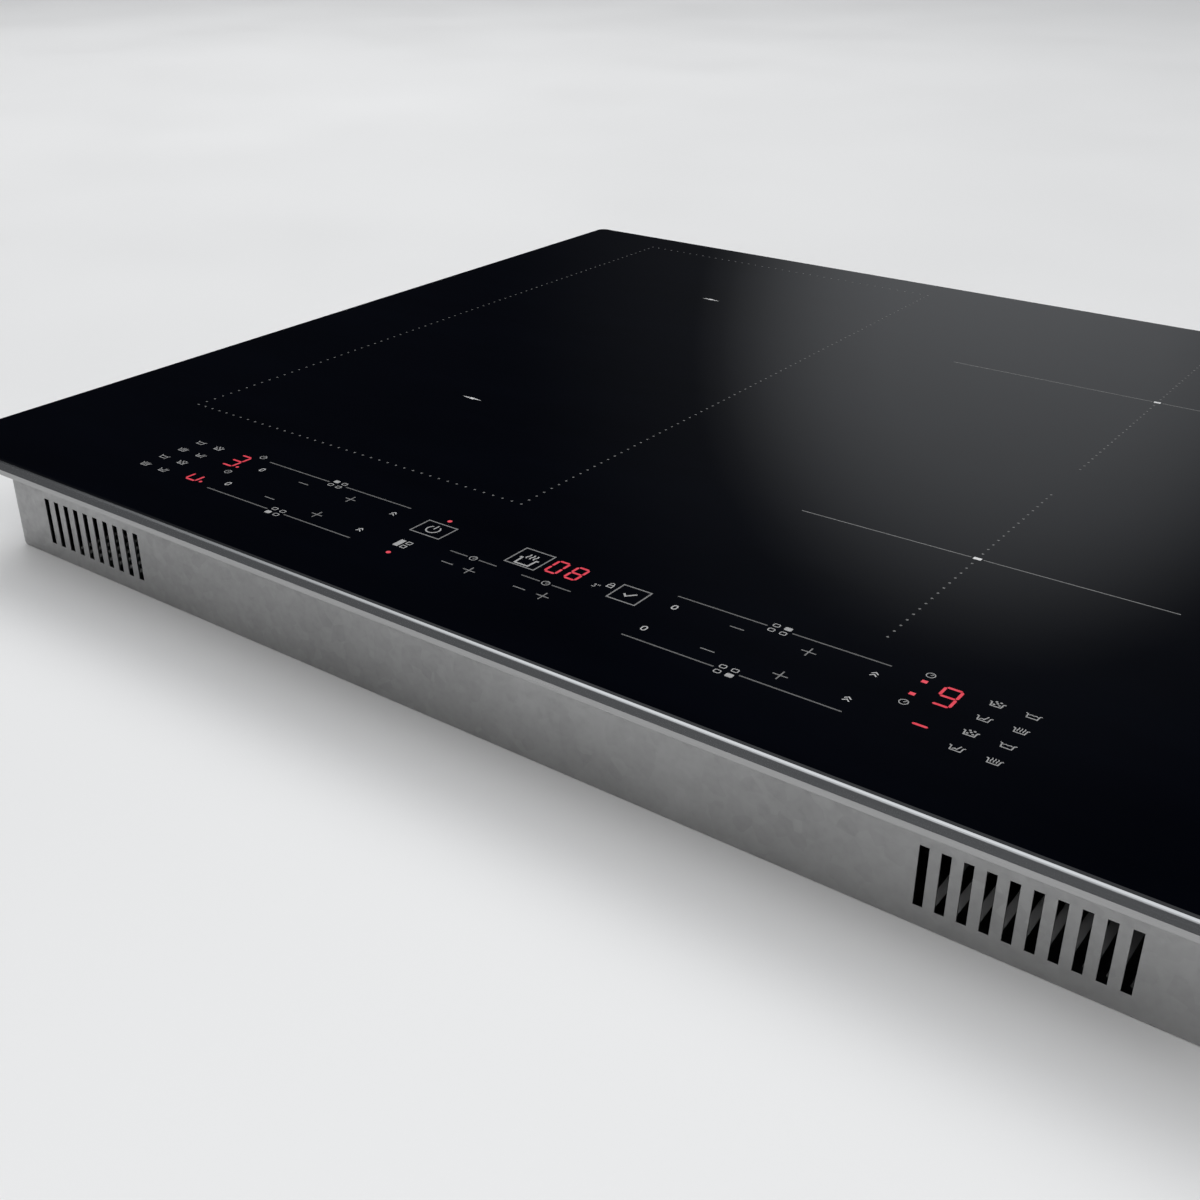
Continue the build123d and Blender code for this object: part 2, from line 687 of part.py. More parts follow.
def filter_choke():
    """Ring core lying on the filter board, wound with two thick coils."""
    x, y = 0.0, (FILTER_FRONT + FILTER_REAR) / 2
    core_r, core_half, core_height, wire = 17.0, 4.5, 14.0, 1.5
    z = BOARD_TOP + core_height / 2 + wire
    low, high = z - core_height / 2, z + core_height / 2
    core = rod(x, y, low, high, core_r + core_half) - rod(x, y, low - 1, high + 1, core_r - core_half)
    turns = []
    for start in (20, 200):
        for k in range(9):
            at = Pos(x, y, z) * Rot(0, 0, start + 17.5 * k) * Pos(core_r, 0, 0)
            loop = Box(2 * (core_half + wire), 1.8, core_height + 2 * wire)
            turns.append(at * (loop - Box(2 * core_half, 2, core_height)))
    return group([core] + turns)


# ---- blowers ----
def fan_housing(side):
    """Round housing with a floor inlet and an outlet nozzle towards the heatsink."""
    x = side * FAN_X
    tip = FAN_Y - NOZZLE_REACH
    wall = FAN_WALL
    shell = rod(x, FAN_Y, SHEET, FAN_TOP, FAN_R)
    shell = shell + block(x - NOZZLE_HALF, x + NOZZLE_HALF, tip, FAN_Y, SHEET, FAN_TOP)
    room = rod(x, FAN_Y, SHEET + wall, FAN_TOP - wall, FAN_R - wall)
    inner = NOZZLE_HALF - wall
    room = room + block(x - inner, x + inner, tip - 1, FAN_Y, SHEET + wall, FAN_TOP - wall)
    return shell - room - rod(x, FAN_Y, SHEET - 1, SHEET + wall + 1, INLET_R)


def fan_motor(side):
    """Motor hung from the housing's roof, with the shaft that the rotor turns on and its clip."""
    x = side * FAN_X
    can_bottom, shaft_bottom = 17.5, 4.0
    can = rod(x, FAN_Y, can_bottom, FAN_TOP - FAN_WALL, 13)
    shaft = rod(x, FAN_Y, shaft_bottom, can_bottom, SHAFT_R)
    clip = rod(x, FAN_Y, shaft_bottom + 0.2, shaft_bottom + 1.1, SHAFT_R + 1.4)
    return can + shaft + clip


def fan_rotor(side):
    """Backward blades between a back plate and a lower ring, on a bored hub."""
    back_z, blade_z, hub_z = 15.6, 4.4, 5.5
    tip_r, root_r, hub_r = 35.5, 22.0, 7.0
    disc, ring_width, blade_thickness, lean = 1.2, 2.5, 0.9, 32
    ring = rod(0, 0, blade_z, blade_z + disc, tip_r) - rod(0, 0, 0, back_z, tip_r - ring_width)
    rotor = rod(0, 0, back_z, back_z + disc, tip_r) + rod(0, 0, hub_z, back_z, hub_r) + ring
    blade = Box(tip_r - root_r - 1, blade_thickness, back_z - blade_z)
    blade = Pos((tip_r + root_r) / 2, 0, (blade_z + back_z) / 2) * Rot(0, 0, side * lean) * blade
    for i in range(BLADES):
        rotor = rotor + Rot(0, 0, 360 / BLADES * i) * blade
    rotor = rotor - rod(0, 0, 0, back_z + 5, SHAFT_R + RUNNING_GAP)
    return Pos(side * FAN_X, FAN_Y, 0) * rotor


# ---- touch controls ----
def pad_points():
    """Under every slider a row of pads, and one pad under every key."""
    points = []
    for first, last in (SLIDER_LEFT, SLIDER_RIGHT):
        for offset in (-SLIDER_OFFSET, SLIDER_OFFSET):
            points += [(x, CONTROL_Y + offset) for x in spread(first + 4, last - 4, 8)]
    keys_low = (-47.0, -22.8, -12.1, 11.7, 22.9)
    points += [(x, CONTROL_Y - 9) for x in keys_low]
    points += [(x, CONTROL_Y + 8) for x in (-47.0, 0.0, 47.0)]
    return points


def carrier_outline(inset, z0, z1):
    """Slab with the touch board carrier's outline, smaller by this inset all round."""
    half = CARRIER_HALF - inset
    return block(-half, half, CARRIER_FRONT + inset, CARRIER_REAR - inset, z0, z1)


def ui_carrier():
    """Shallow plastic tray on legs that holds the touch board against the glass."""
    low, high, wall = 40.0, 46.0, 1.5
    tray = carrier_outline(0, low, high)
    room = carrier_outline(wall, low + wall, high + 1)
    studs = [
        rod(x, y, low + wall, UI_BOARD_Z, 2.5)
        for x in spread(-190, 190, 5)
        for y in (CARRIER_FRONT + 6, CARRIER_REAR - 6)
    ]
    legs = [
        rod(x, y, SHEET, low, 4)
        for x in (-170, -60, 60, 170)
        for y in (CARRIER_FRONT + 8, CARRIER_REAR - 8)
    ]
    return tray - room + studs + legs


def ui_board():
    return carrier_outline(2.0, UI_BOARD_Z, UI_BOARD_TOP)


def touch_pads():
    return group([rod(x, y, UI_BOARD_TOP, GLASS_Z, 3.2) for x, y in pad_points()])


def display_modules():
    """Digit displays behind the glass, one for each side and one in the middle."""
    modules = [
        centred(-163, CONTROL_Y, 16, 40, UI_BOARD_TOP, DISPLAY_TOP),
        centred(164, CONTROL_Y, 17, 40, UI_BOARD_TOP, DISPLAY_TOP),
        centred(16.5, CONTROL_Y + 10.5, 20, 13, UI_BOARD_TOP, DISPLAY_TOP),
    ]
    return group([chamfer(m.edges().group_by(Axis.Z)[-1], 0.4) for m in modules])


# ---- mains terminals ----
def terminal_box():
    """Moulded box behind the rear wall's window, with two hinge ears outside."""
    half, wall = TERMINAL_HALF, TERMINAL_WALL
    inner = half - wall
    inside = PAN_Y - SHEET
    low, high = TERMINAL_BOTTOM, TERMINAL_TOP
    box = block(-half, half, TERMINAL_FRONT, inside, low, high)
    box = box - block(-inner, inner, TERMINAL_FRONT + wall, inside + 1, low + wall, high - wall)
    wire_hole = rod_along_x(inner - 1, half + 1, WIRE_HOLE_Y, GLAND_Z, WIRE_HOLE_R)
    for _, side in SIDES:
        left = side * EAR_X - EAR_HALF
        right = side * EAR_X + EAR_HALF
        arm = block(left, right, inside - 4, HINGE_Y, HINGE_Z - HINGE_EYE_R, HINGE_Z + HINGE_EYE_R)
        eye = rod_along_x(left, right, HINGE_Y, HINGE_Z, HINGE_EYE_R)
        box = box + arm + eye
    box = box - rod_along_x(-half, half, HINGE_Y, HINGE_Z, HINGE_PIN_R + RUNNING_GAP)
    return box - wire_hole


def terminal_cover():
    """Flap over the window, hinged on pins at its lower edge, with two catches at its top."""
    inner_y = PAN_Y + 0.3
    outer_y = HINGE_Y + 0.5
    plate_z = HINGE_Z + 3.2
    plate = block(-TERMINAL_HALF, TERMINAL_HALF, inner_y, outer_y, plate_z, TERMINAL_TOP + 1)
    for x in spread(-30, 30, 7):
        plate = plate - centred(x, outer_y, 1.6, 1.2, 12, 26)
    eye_outer = EAR_X - EAR_HALF - 0.4
    eye_inner = eye_outer - 6
    pin_end = EAR_X + EAR_HALF - 0.2
    catch_z = (TERMINAL_TOP - 4.2, TERMINAL_TOP - 2.7)
    for _, side in SIDES:
        eye = rod_along_x(side * eye_inner, side * eye_outer, HINGE_Y, HINGE_Z, HINGE_EYE_R)
        web = block(side * eye_inner, side * eye_outer, inner_y + 0.2, outer_y, HINGE_Z, plate_z)
        pin = rod_along_x(side * eye_outer, side * pin_end, HINGE_Y, HINGE_Z, HINGE_PIN_R)
        catch = centred(side * 24, PAN_Y - 0.6, 10, 2.4, *catch_z)
        plate = plate + eye + web + pin + catch
    return plate


def terminal_block():
    """Five-way block with barriers between the ways and a hole for each wire."""
    back = TERMINAL_FRONT + TERMINAL_WALL
    face = TERMINAL_FACE
    low, high = TERMINAL_BOTTOM + TERMINAL_WALL, 26.0
    edge = TERMINAL_WAYS[-1] + TERMINAL_PITCH / 2
    body = block(-edge - 1, edge + 1, back, face, low, high)
    for x in TERMINAL_WAYS:
        body = body - rod_along_y(x, face - 8, face + 1, TERMINAL_SCREW_Z, TERMINAL_SCREW_R)
        body = body - rod_along_y(x, face - 9, face + 1, 11.5, 2.4)
    for x in spread(-edge, edge, len(TERMINAL_WAYS) + 1):
        body = body + block(x - 1, x + 1, face - 1, face + 4, low, high)
    return body


def terminal_screws():
    one = screw(3.4, 2.4, TERMINAL_SCREW_R, 7.0)
    turned = Rot(-90, 0, 0) * one
    return group([Pos(x, TERMINAL_FACE, TERMINAL_SCREW_Z) * turned for x in TERMINAL_WAYS])


def cable_gland():
    """Bushing slid down a notch of the rear wall, with a face plate outside and a nut inside."""
    inner_end, outer_end = GLAND_Y
    through = (inner_end - 1, outer_end + 1)
    body = rod_along_y(GLAND_X, inner_end, outer_end, GLAND_Z, GLAND_BODY_R)
    plate = gland_block(GLAND_PLATE_HALF, PAN_Y, PAN_Y + 2.5, GLAND_Z - GLAND_PLATE_HALF, GLAND_PLATE_TOP)
    plate = fillet(plate.edges().filter_by(Axis.Y), 3)
    half = GLAND_NOTCH_HALF - 0.1
    tongue = gland_block(half, PAN_Y - SHEET, PAN_Y, GLAND_Z - half, GLAND_PLATE_TOP)
    bushing = body + plate + tongue - rod_along_y(GLAND_X, *through, GLAND_Z, GLAND_BORE_R)
    hexagon = Plane.XZ * RegularPolygon(GLAND_BODY_R + 3.5, 6)
    nut = Pos(GLAND_X, PAN_Y - SHEET, GLAND_Z) * extrude(hexagon, GLAND_NUT)
    nut = nut - rod_along_y(GLAND_X, *through, GLAND_Z, GLAND_BODY_R)
    return group([bushing, nut])


# ---- every node ----
def main():
    os.makedirs("parts", exist_ok=True)
    save(glass_top(), "glass_top")
    save(front_trim(), "front_trim")
    save(worktop_seal(), "worktop_seal")
    save(bonding_bead(), "bonding_bead")
    save(long_rail(-1), "rail_front")
    save(long_rail(1), "rail_rear")
    save(case_screws(), "case_screws")
    save(lower_pan(), "lower_pan")
    for name, x, y, radius, bars in ZONES:
        save(coil_former(x, y, radius, bars), f"coil_former_{name}")
        save(coil_winding(x, y, radius), f"coil_winding_{name}")
    for name, side in SIDES:
        save(short_rail(side), f"rail_{name}")
        save(spring_clip(side, -CLIP_Y), f"spring_clip_front_{name}")
        save(spring_clip(side, CLIP_Y), f"spring_clip_rear_{name}")
        save(coil_plate(name, side), f"coil_plate_{name}")
        save(insulation_sheet(name, side), f"insulation_sheet_{name}")
        save(board_tray(side), f"board_tray_{name}")
        save(power_board(side), f"power_board_{name}")
        save(heatsink(side), f"heatsink_{name}")
        save(power_transistors(side), f"power_transistors_{name}")
        save(film_capacitors(side), f"film_capacitors_{name}")
        save(fan_housing(side), f"fan_housing_{name}")
        save(fan_motor(side), f"fan_motor_{name}")
        save(fan_rotor(side), f"fan_rotor_{name}")
    save(ferrite_bars(), "ferrite_bars")
    save(temperature_sensors(), "temperature_sensors")
    save(plate_springs(), "plate_springs")
    save(coil_leads(), "coil_leads")
    save(board_spacers(), "board_spacers")
    save(board_screws(), "board_screws")
    save(filter_board(), "filter_board")
    save(filter_choke(), "filter_choke")
    save(relays(), "relays")
    save(ui_carrier(), "ui_carrier")
    save(ui_board(), "ui_board")
    save(touch_pads(), "touch_pads")
    save(display_modules(), "display_modules")
    save(terminal_box(), "terminal_box")
    save(terminal_block(), "terminal_block")
    save(terminal_screws(), "terminal_screws")
    save(terminal_cover(), "terminal_cover")
    save(cable_gland(), "cable_gland")


main()
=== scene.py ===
import json
import math
import bmesh
import bpy
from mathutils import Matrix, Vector


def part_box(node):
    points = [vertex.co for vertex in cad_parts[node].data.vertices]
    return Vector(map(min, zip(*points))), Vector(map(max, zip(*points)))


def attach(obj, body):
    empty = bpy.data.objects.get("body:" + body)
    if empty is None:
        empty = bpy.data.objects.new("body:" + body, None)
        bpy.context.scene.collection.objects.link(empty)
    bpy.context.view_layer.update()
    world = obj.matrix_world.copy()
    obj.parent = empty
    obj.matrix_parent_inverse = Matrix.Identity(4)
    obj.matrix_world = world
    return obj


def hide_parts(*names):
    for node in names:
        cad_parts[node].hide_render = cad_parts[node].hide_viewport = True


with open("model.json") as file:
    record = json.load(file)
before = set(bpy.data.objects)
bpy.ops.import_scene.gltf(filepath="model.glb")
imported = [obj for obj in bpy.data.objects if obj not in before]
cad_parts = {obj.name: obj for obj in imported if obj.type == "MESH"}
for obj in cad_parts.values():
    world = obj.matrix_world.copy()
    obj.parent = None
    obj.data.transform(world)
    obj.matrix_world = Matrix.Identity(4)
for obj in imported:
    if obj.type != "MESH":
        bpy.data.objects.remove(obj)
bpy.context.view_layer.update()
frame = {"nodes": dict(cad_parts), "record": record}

# A built-in induction hob on a pale studio floor. Metres, in the CAD's own frame.
# The printed marks, the lit digits, the trim's rounded edges and every finish are made here.
MM = 0.001
ROOT = "hob"                                # the body that every new piece rides on
GLASS_LOW, GLASS_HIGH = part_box("glass_top")
TRIM_LOW, TRIM_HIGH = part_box("front_trim")
PRINT_FRONT = GLASS_LOW.y + 0.4 * MM        # the line that the print is measured from
INK = 0.03 * MM                             # thickness of the enamel print


def placed(name, data):
    """A new object in the scene that holds this mesh, light or camera."""
    obj = bpy.data.objects.new(name, data)
    bpy.context.scene.collection.objects.link(obj)
    return obj


# ---------------------------------------------------------------- node materials
class Finish:
    """One procedural material. Methods add layers of variation to its Principled shader."""

    FADE = (0.3, 0.7)           # the part of a noise's range that most of it lies in

    def __init__(self, name):
        self.material = bpy.data.materials.new(name)
        self.material.use_nodes = True
        self.tree = self.material.node_tree
        self.shader = self.tree.nodes["Principled BSDF"]
        self.coordinates = self.tree.nodes.new("ShaderNodeTexCoord").outputs["Object"]

    def set(self, **sockets):
        for name, value in sockets.items():
            self.shader.inputs[name.replace("_", " ")].default_value = value
        return self

    def link(self, source, target):
        self.tree.links.new(source, target)

    def mapped(self, scale=(1, 1, 1)):
        mapping = self.tree.nodes.new("ShaderNodeMapping")
        mapping.inputs["Scale"].default_value = scale
        self.link(self.coordinates, mapping.inputs["Vector"])
        return mapping.outputs["Vector"]

    def noise(self, scale, detail=4.0, stretch=(1, 1, 1), rough=0.5):
        node = self.tree.nodes.new("ShaderNodeTexNoise")
        node.inputs["Scale"].default_value = scale
        node.inputs["Detail"].default_value = detail
        node.inputs["Roughness"].default_value = rough
        self.link(self.mapped(stretch), node.inputs["Vector"])
        return node.outputs["Fac"]

    def cells(self, scale, feature="F1", output="Color"):
        node = self.tree.nodes.new("ShaderNodeTexVoronoi")
        node.feature = feature
        node.inputs["Scale"].default_value = scale
        self.link(self.mapped(), node.inputs["Vector"])
        return node.outputs[output]

    def ramp(self, factor, low, high, start=FADE[0], end=FADE[1]):
        """Colour that goes from low to high as the factor goes from start to end."""
        node = self.tree.nodes.new("ShaderNodeValToRGB")
        first, last = node.color_ramp.elements
        first.position, last.position = start, end
        first.color = (*low, 1)
        last.color = (*high, 1)
        self.link(factor, node.inputs["Fac"])
        return node.outputs["Color"]

    def spread(self, factor, low, high):
        """Value that goes from low to high over the factor's useful range."""
        node = self.tree.nodes.new("ShaderNodeMapRange")
        node.inputs["From Min"].default_value = self.FADE[0]
        node.inputs["From Max"].default_value = self.FADE[1]
        node.inputs["To Min"].default_value = low
        node.inputs["To Max"].default_value = high
        self.link(factor, node.inputs["Value"])
        return node.outputs["Result"]

    def colour(self, factor, low, high, start=FADE[0], end=FADE[1]):
        self.link(self.ramp(factor, low, high, start, end), self.shader.inputs["Base Color"])
        return self

    def roughness(self, factor, low, high):
        self.link(self.spread(factor, low, high), self.shader.inputs["Roughness"])
        return self

    def bump(self, factor, height, strength=1.0):
        """Relief of this height, in metres."""
        node = self.tree.nodes.new("ShaderNodeBump")
        node.inputs["Distance"].default_value = height
        node.inputs["Strength"].default_value = strength
        self.link(factor, node.inputs["Height"])
        self.link(node.outputs["Normal"], self.shader.inputs["Normal"])
        return self

    def mix(self, factor, low, high):
        """Blend of two colour outputs by a factor output."""
        node = self.tree.nodes.new("ShaderNodeMix")
        node.data_type = "RGBA"
        self.link(factor, node.inputs[0])
        self.link(low, node.inputs[6])
        self.link(high, node.inputs[7])
        return node.outputs[2]


def grey(value):
    return (value, value, value)


def black_glass():
    """Glossy black glass-ceramic with faint wipe marks in its polish."""
    f = Finish("black_glass").set(IOR=1.52)
    wipe = f.noise(9, 3, (1, 3.5, 1))
    f.colour(wipe, (0.0004, 0.0007, 0.0018), (0.0008, 0.0012, 0.0028))
    f.roughness(f.noise(22, 5, (1, 2, 1)), 0.035, 0.075)
    return f.bump(f.noise(700, 2), 8e-7)


def trim_metal(name, bright, rough):
    """Drawn steel strip: fine lines along its length, slightly darker in patches."""
    f = Finish(name).set(Metallic=1.0)
    lines = f.noise(1, 6, (14, 5200, 5200), 0.6)
    f.colour(lines, grey(bright * 0.92), grey(bright * 1.06))
    f.roughness(f.noise(30, 3, (1, 60, 60)), rough * 0.85, rough * 1.2)
    return f.bump(lines, 4e-6, 0.25)


def sheet_metal(name, low, high, crystal=90, rough=(0.30, 0.5)):
    """Galvanised sheet: crystals of zinc with a cloudy dulling over them."""
    f = Finish(name).set(Metallic=1.0)
    crystals = f.cells(crystal)
    cloud = f.noise(12, 5)
    grain = f.ramp(crystals, low, high, 0.0, 1.0)
    dull = f.ramp(cloud, low, high)
    f.link(f.mix(f.spread(cloud, 0.45, 0.8), grain, dull), f.shader.inputs["Base Color"])
    f.roughness(f.noise(crystal * 2, 4), *rough)
    return f.bump(f.noise(420, 3), 2e-5, 0.25)


def brushed(name, low, high, stretch, rough=(0.2, 0.4)):
    """Drawn or brushed metal, its lines running where the stretch is smallest."""
    f = Finish(name).set(Metallic=1.0)
    lines = f.noise(1, 5, stretch)
    f.colour(lines, low, high)
    f.roughness(f.noise(60, 3), *rough)
    return f.bump(lines, 2e-5, 0.3)


def moulded(name, low, high, rough=(0.45, 0.65), grain=900):
    """Moulded plastic: spark-eroded grain, a little mottled."""
    f = Finish(name)
    f.colour(f.noise(35, 4), low, high)
    f.roughness(f.noise(120, 3), *rough)
    return f.bump(f.noise(grain, 3), 4e-5, 0.6)


def circuit_board():
    """Green solder mask over tracks, with small tinned pads."""
    f = Finish("circuit_board").set(Coat_Weight=0.3)
    tracks = f.cells(260, "DISTANCE_TO_EDGE", "Distance")
    mask = f.ramp(tracks, (0.03, 0.20, 0.08), (0.01, 0.10, 0.045), 0.02, 0.09)
    pads = f.cells(330, "F1", "Distance")
    tin = f.ramp(f.noise(200), grey(0.45), grey(0.6))
    dots = f.ramp(pads, grey(1), grey(0), 0.10, 0.13)
    f.link(f.mix(dots, mask, tin), f.shader.inputs["Base Color"])
    f.roughness(f.noise(150), 0.3, 0.5)
    return f.bump(tracks, 3e-5, 0.4)


def litz():
    """Varnished copper strands twisted together."""
    f = Finish("litz_copper").set(Metallic=1.0)
    strands = f.noise(1, 5, (900, 900, 2600), 0.7)
    f.colour(strands, (0.33, 0.12, 0.05), (0.80, 0.38, 0.18))
    f.roughness(strands, 0.28, 0.45)
    return f.bump(strands, 2e-4, 0.7)


def speckled(name, low, high, scale=600, rough=(0.5, 0.8)):
    """Sintered or pressed mineral with speckles."""
    f = Finish(name)
    specks = f.noise(scale, 6, (1, 1, 1), 0.75)
    f.colour(specks, low, high, 0.42, 0.58)
    f.roughness(f.noise(90), *rough)
    return f.bump(specks, 5e-5, 0.5)


def foam(name, low, high):
    """Closed-cell foam or sponge, its bubbles cut open at the surface."""
    f = Finish(name)
    bubbles = f.cells(1500, "F1", "Distance")
    f.colour(bubbles, low, high, 0.1, 0.6)
    f.roughness(f.noise(150), 0.8, 0.95)
    return f.bump(bubbles, 2e-4, 0.8)


def enamel(name, low, high):
    """Screen-printed enamel fired on the glass, with a fine dot texture."""
    f = Finish(name)
    f.colour(f.noise(1800, 2), low, high, 0.35, 0.65)
    f.roughness(f.noise(500), 0.35, 0.55)
    return f.bump(f.noise(2500, 2), 6e-6, 0.5)


def lit(name, low, high, strength):
    """A red light behind the glass, a little uneven along each bar."""
    f = Finish(name).set(Emission_Strength=strength, Roughness=0.25)
    unevenness = f.noise(900, 2)
    glow = f.ramp(unevenness, low, high)
    f.link(glow, f.shader.inputs["Emission Color"])
    return f.colour(unevenness, (0.10, 0.004, 0.006), (0.16, 0.006, 0.01))


FINISHES = {                                # by the name of the record's material slot
    "black_glass": black_glass(),
    "trim_metal": trim_metal("trim_metal", 0.55, 0.3),
    "foam_seal": foam("foam_seal", grey(0.012), grey(0.035)),
    "silicone": moulded("silicone", grey(0.05), grey(0.08), (0.35, 0.5), 300),
    "zinc_rail": sheet_metal("zinc_rail", grey(0.34), grey(0.46), 260),
    # The pan's zinc is the rail's, made darker over the whole pan as painted shade under the overhanging
    # glass
    "zinc_pan": sheet_metal("zinc_pan", grey(0.30), grey(0.42), 190),
    "screw_steel": brushed("screw_steel", grey(0.38), grey(0.62), (300, 300, 2500)),
    "spring_steel": brushed("spring_steel", grey(0.36), grey(0.58), (2500, 300, 300), (0.16, 0.3)),
    "plate_aluminium": brushed(
        "plate_aluminium", grey(0.55), grey(0.74), (30, 2600, 300), (0.3, 0.45)),
    "former_plastic": moulded("former_plastic", (0.52, 0.49, 0.42), (0.62, 0.60, 0.53)),
    "litz_copper": litz(),
    "mica": speckled("mica", (0.40, 0.34, 0.22), (0.62, 0.56, 0.42), 260, (0.3, 0.55)),
    "circuit_board": circuit_board(),
    "heatsink_aluminium": brushed(
        "heatsink_aluminium", grey(0.5), grey(0.7), (2400, 20, 2400), (0.3, 0.45)),
    "package_plastic": moulded("package_plastic", grey(0.010), grey(0.02)),
    "capacitor_plastic": moulded("capacitor_plastic", (0.50, 0.47, 0.36), (0.58, 0.55, 0.45)),
    "tray_plastic": moulded("tray_plastic", (0.42, 0.42, 0.39), (0.50, 0.50, 0.47)),
    "fan_housing_plastic": moulded("fan_housing_plastic", grey(0.028), grey(0.05)),
    "fan_rotor_plastic": moulded("fan_rotor_plastic", grey(0.06), grey(0.10)),
    "motor_metal": brushed("motor_metal", grey(0.2), grey(0.32), (300, 300, 2400)),
    "ferrite": speckled("ferrite", grey(0.014), grey(0.035)),
    "sensor_ceramic": speckled("sensor_ceramic", (0.60, 0.57, 0.48), (0.74, 0.71, 0.64)),
    "lead_sleeve": speckled("lead_sleeve", (0.40, 0.38, 0.32), (0.62, 0.60, 0.54), 1600),
    "spacer_plastic": moulded("spacer_plastic", grey(0.5), grey(0.62)),
    "choke_copper": brushed("choke_copper", (0.45, 0.17, 0.07), (0.78, 0.36, 0.17), (900, 900, 900)),
    "relay_plastic": moulded("relay_plastic", (0.01, 0.03, 0.12), (0.02, 0.05, 0.18)),
    "carrier_plastic": moulded("carrier_plastic", grey(0.02), grey(0.04)),
    "touch_foam": foam("touch_foam", grey(0.02), grey(0.06)),
    "display_plastic": moulded("display_plastic", grey(0.012), grey(0.024), (0.2, 0.35)),
    "terminal_plastic": moulded("terminal_plastic", grey(0.035), grey(0.06)),
    "terminal_block_plastic": moulded("terminal_block_plastic", grey(0.42), grey(0.52)),
    "terminal_brass": brushed(
        "terminal_brass", (0.40, 0.28, 0.10), (0.70, 0.54, 0.24), (300, 300, 2500)),
    "gland_plastic": moulded("gland_plastic", grey(0.012), grey(0.025)),
}


def dress_cad_nodes():
    """Each CAD node takes the finish that its material slot names."""
    for part in frame["record"]["subparts"]:
        mesh = frame["nodes"][part["node"]].data
        mesh.materials.clear()
        mesh.materials.append(FINISHES[part["material_slot"]].material)


# ---------------------------------------------------------------- flat shapes of the print
class Print:
    """Collects thin closed shapes that lie on the glass. Places are in millimetres, measured
    from the left edge of the glass and from the front of its flat top."""

    def __init__(self):
        self.mesh = bmesh.new()

    def corner_pair(self, x, y):
        place = (GLASS_LOW.x + x * MM, PRINT_FRONT + y * MM)
        low = self.mesh.verts.new((*place, GLASS_HIGH.z))
        high = self.mesh.verts.new((*place, GLASS_HIGH.z + INK))
        return low, high

    def face(self, *corners):
        self.mesh.faces.new(corners)

    def polygon(self, points):
        """A filled flat shape, its points given anticlockwise."""
        pairs = [self.corner_pair(x, y) for x, y in points]
        self.face(*[high for _, high in pairs])
        self.face(*[low for low, _ in reversed(pairs)])
        for (low_a, high_a), (low_b, high_b) in zip(pairs, pairs[1:] + pairs[:1]):
            self.face(low_a, low_b, high_b, high_a)

    def bar(self, x, y, width, height):
        w, h = width / 2, height / 2
        self.polygon([(x - w, y - h), (x + w, y - h), (x + w, y + h), (x - w, y + h)])

    def disc(self, x, y, radius, count=16):
        self.polygon(arc(x, y, radius, 0, 360 - 360 / count, count))

    def stroke(self, points, width, closed=False):
        """A line of this width along the points, as one closed strip."""
        pairs = [
            (self.corner_pair(*left), self.corner_pair(*right))
            for left, right in both_sides(points, width, closed)
        ]
        spans = list(zip(pairs, pairs[1:] + pairs[:1]))
        if not closed:
            spans = spans[:-1]
        for (left_a, right_a), (left_b, right_b) in spans:
            self.face(right_a[1], right_b[1], left_b[1], left_a[1])
            self.face(left_a[0], left_b[0], right_b[0], right_a[0])
            self.face(left_a[1], left_b[1], left_b[0], left_a[0])
            self.face(right_a[0], right_b[0], right_b[1], right_a[1])
        if not closed:
            for (left, right), flip in ((pairs[0], False), (pairs[-1], True)):
                cap = [left[0], right[0], right[1], left[1]]
                self.face(*(reversed(cap) if flip else cap))

    def box(self, x, y, width, height, line):
        """Outline of a rectangle, its line wholly inside."""
        w, h = (width - line) / 2, (height - line) / 2
        self.stroke([(x - w, y - h), (x + w, y - h), (x + w, y + h), (x - w, y + h)], line, True)

    def piece(self, name, finish):
        """Everything collected, as one piece on the glass."""
        mesh = bpy.data.meshes.new(name)
        bmesh.ops.recalc_face_normals(self.mesh, faces=self.mesh.faces)
        self.mesh.to_mesh(mesh)
        self.mesh.free()
        mesh.materials.append(finish.material)
        obj = placed(name, mesh)
        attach(obj, ROOT)


def arc(x, y, radius, start, end, count):
    """Points evenly along an arc, both ends among them. Angles are in degrees."""
    angles = [math.radians(start + (end - start) * i / (count - 1)) for i in range(count)]
    return [(x + radius * math.cos(a), y + radius * math.sin(a)) for a in angles]


def rounded_box(x, y, width, height, radius):
    """Points round a rectangle with rounded corners."""
    points = []
    for quarter, (side_x, side_y) in enumerate(((1, 1), (-1, 1), (-1, -1), (1, -1))):
        corner_x = x + side_x * (width / 2 - radius)
        corner_y = y + side_y * (height / 2 - radius)
        points += arc(corner_x, corner_y, radius, 90 * quarter, 90 * quarter + 90, 5)
    return points


def both_sides(points, width, closed):
    """The two edges of a stroked line, mitred at its corners."""
    sharpest = 0.4              # a corner's mitre goes no further out than this allows
    sides = []
    count = len(points)
    for i, point in enumerate(points):
        here = Vector(point)
        before = Vector(points[i - 1]) if closed or i > 0 else None
        after = Vector(points[(i + 1) % count]) if closed or i < count - 1 else None
        arriving = (here - before).normalized() if before else (after - here).normalized()
        leaving = (after - here).normalized() if after else arriving
        along = (arriving + leaving).normalized()
        across = Vector((-along.y, along.x))
        reach = width / 2 / max(sharpest, across.dot(Vector((-leaving.y, leaving.x))))
        sides.append((tuple(here + across * reach), tuple(here - across * reach)))
    return sides


# ---------------------------------------------------------------- small signs and digits
LINE = 0.5                  # width of the thin printed lines
SIGN = 5.6                  # width of a plus or minus sign


def minus(ink, x, y):
    ink.bar(x, y, SIGN, LINE)


def plus(ink, x, y):
    a, b = SIGN / 2, LINE / 2
    outline = (
        (-a, -b), (-b, -b), (-b, -a), (b, -a), (b, -b), (a, -b),
        (a, b), (b, b), (b, a), (-b, a), (-b, b), (-a, b),
    )
    ink.polygon([(x + u, y + v) for u, v in outline])


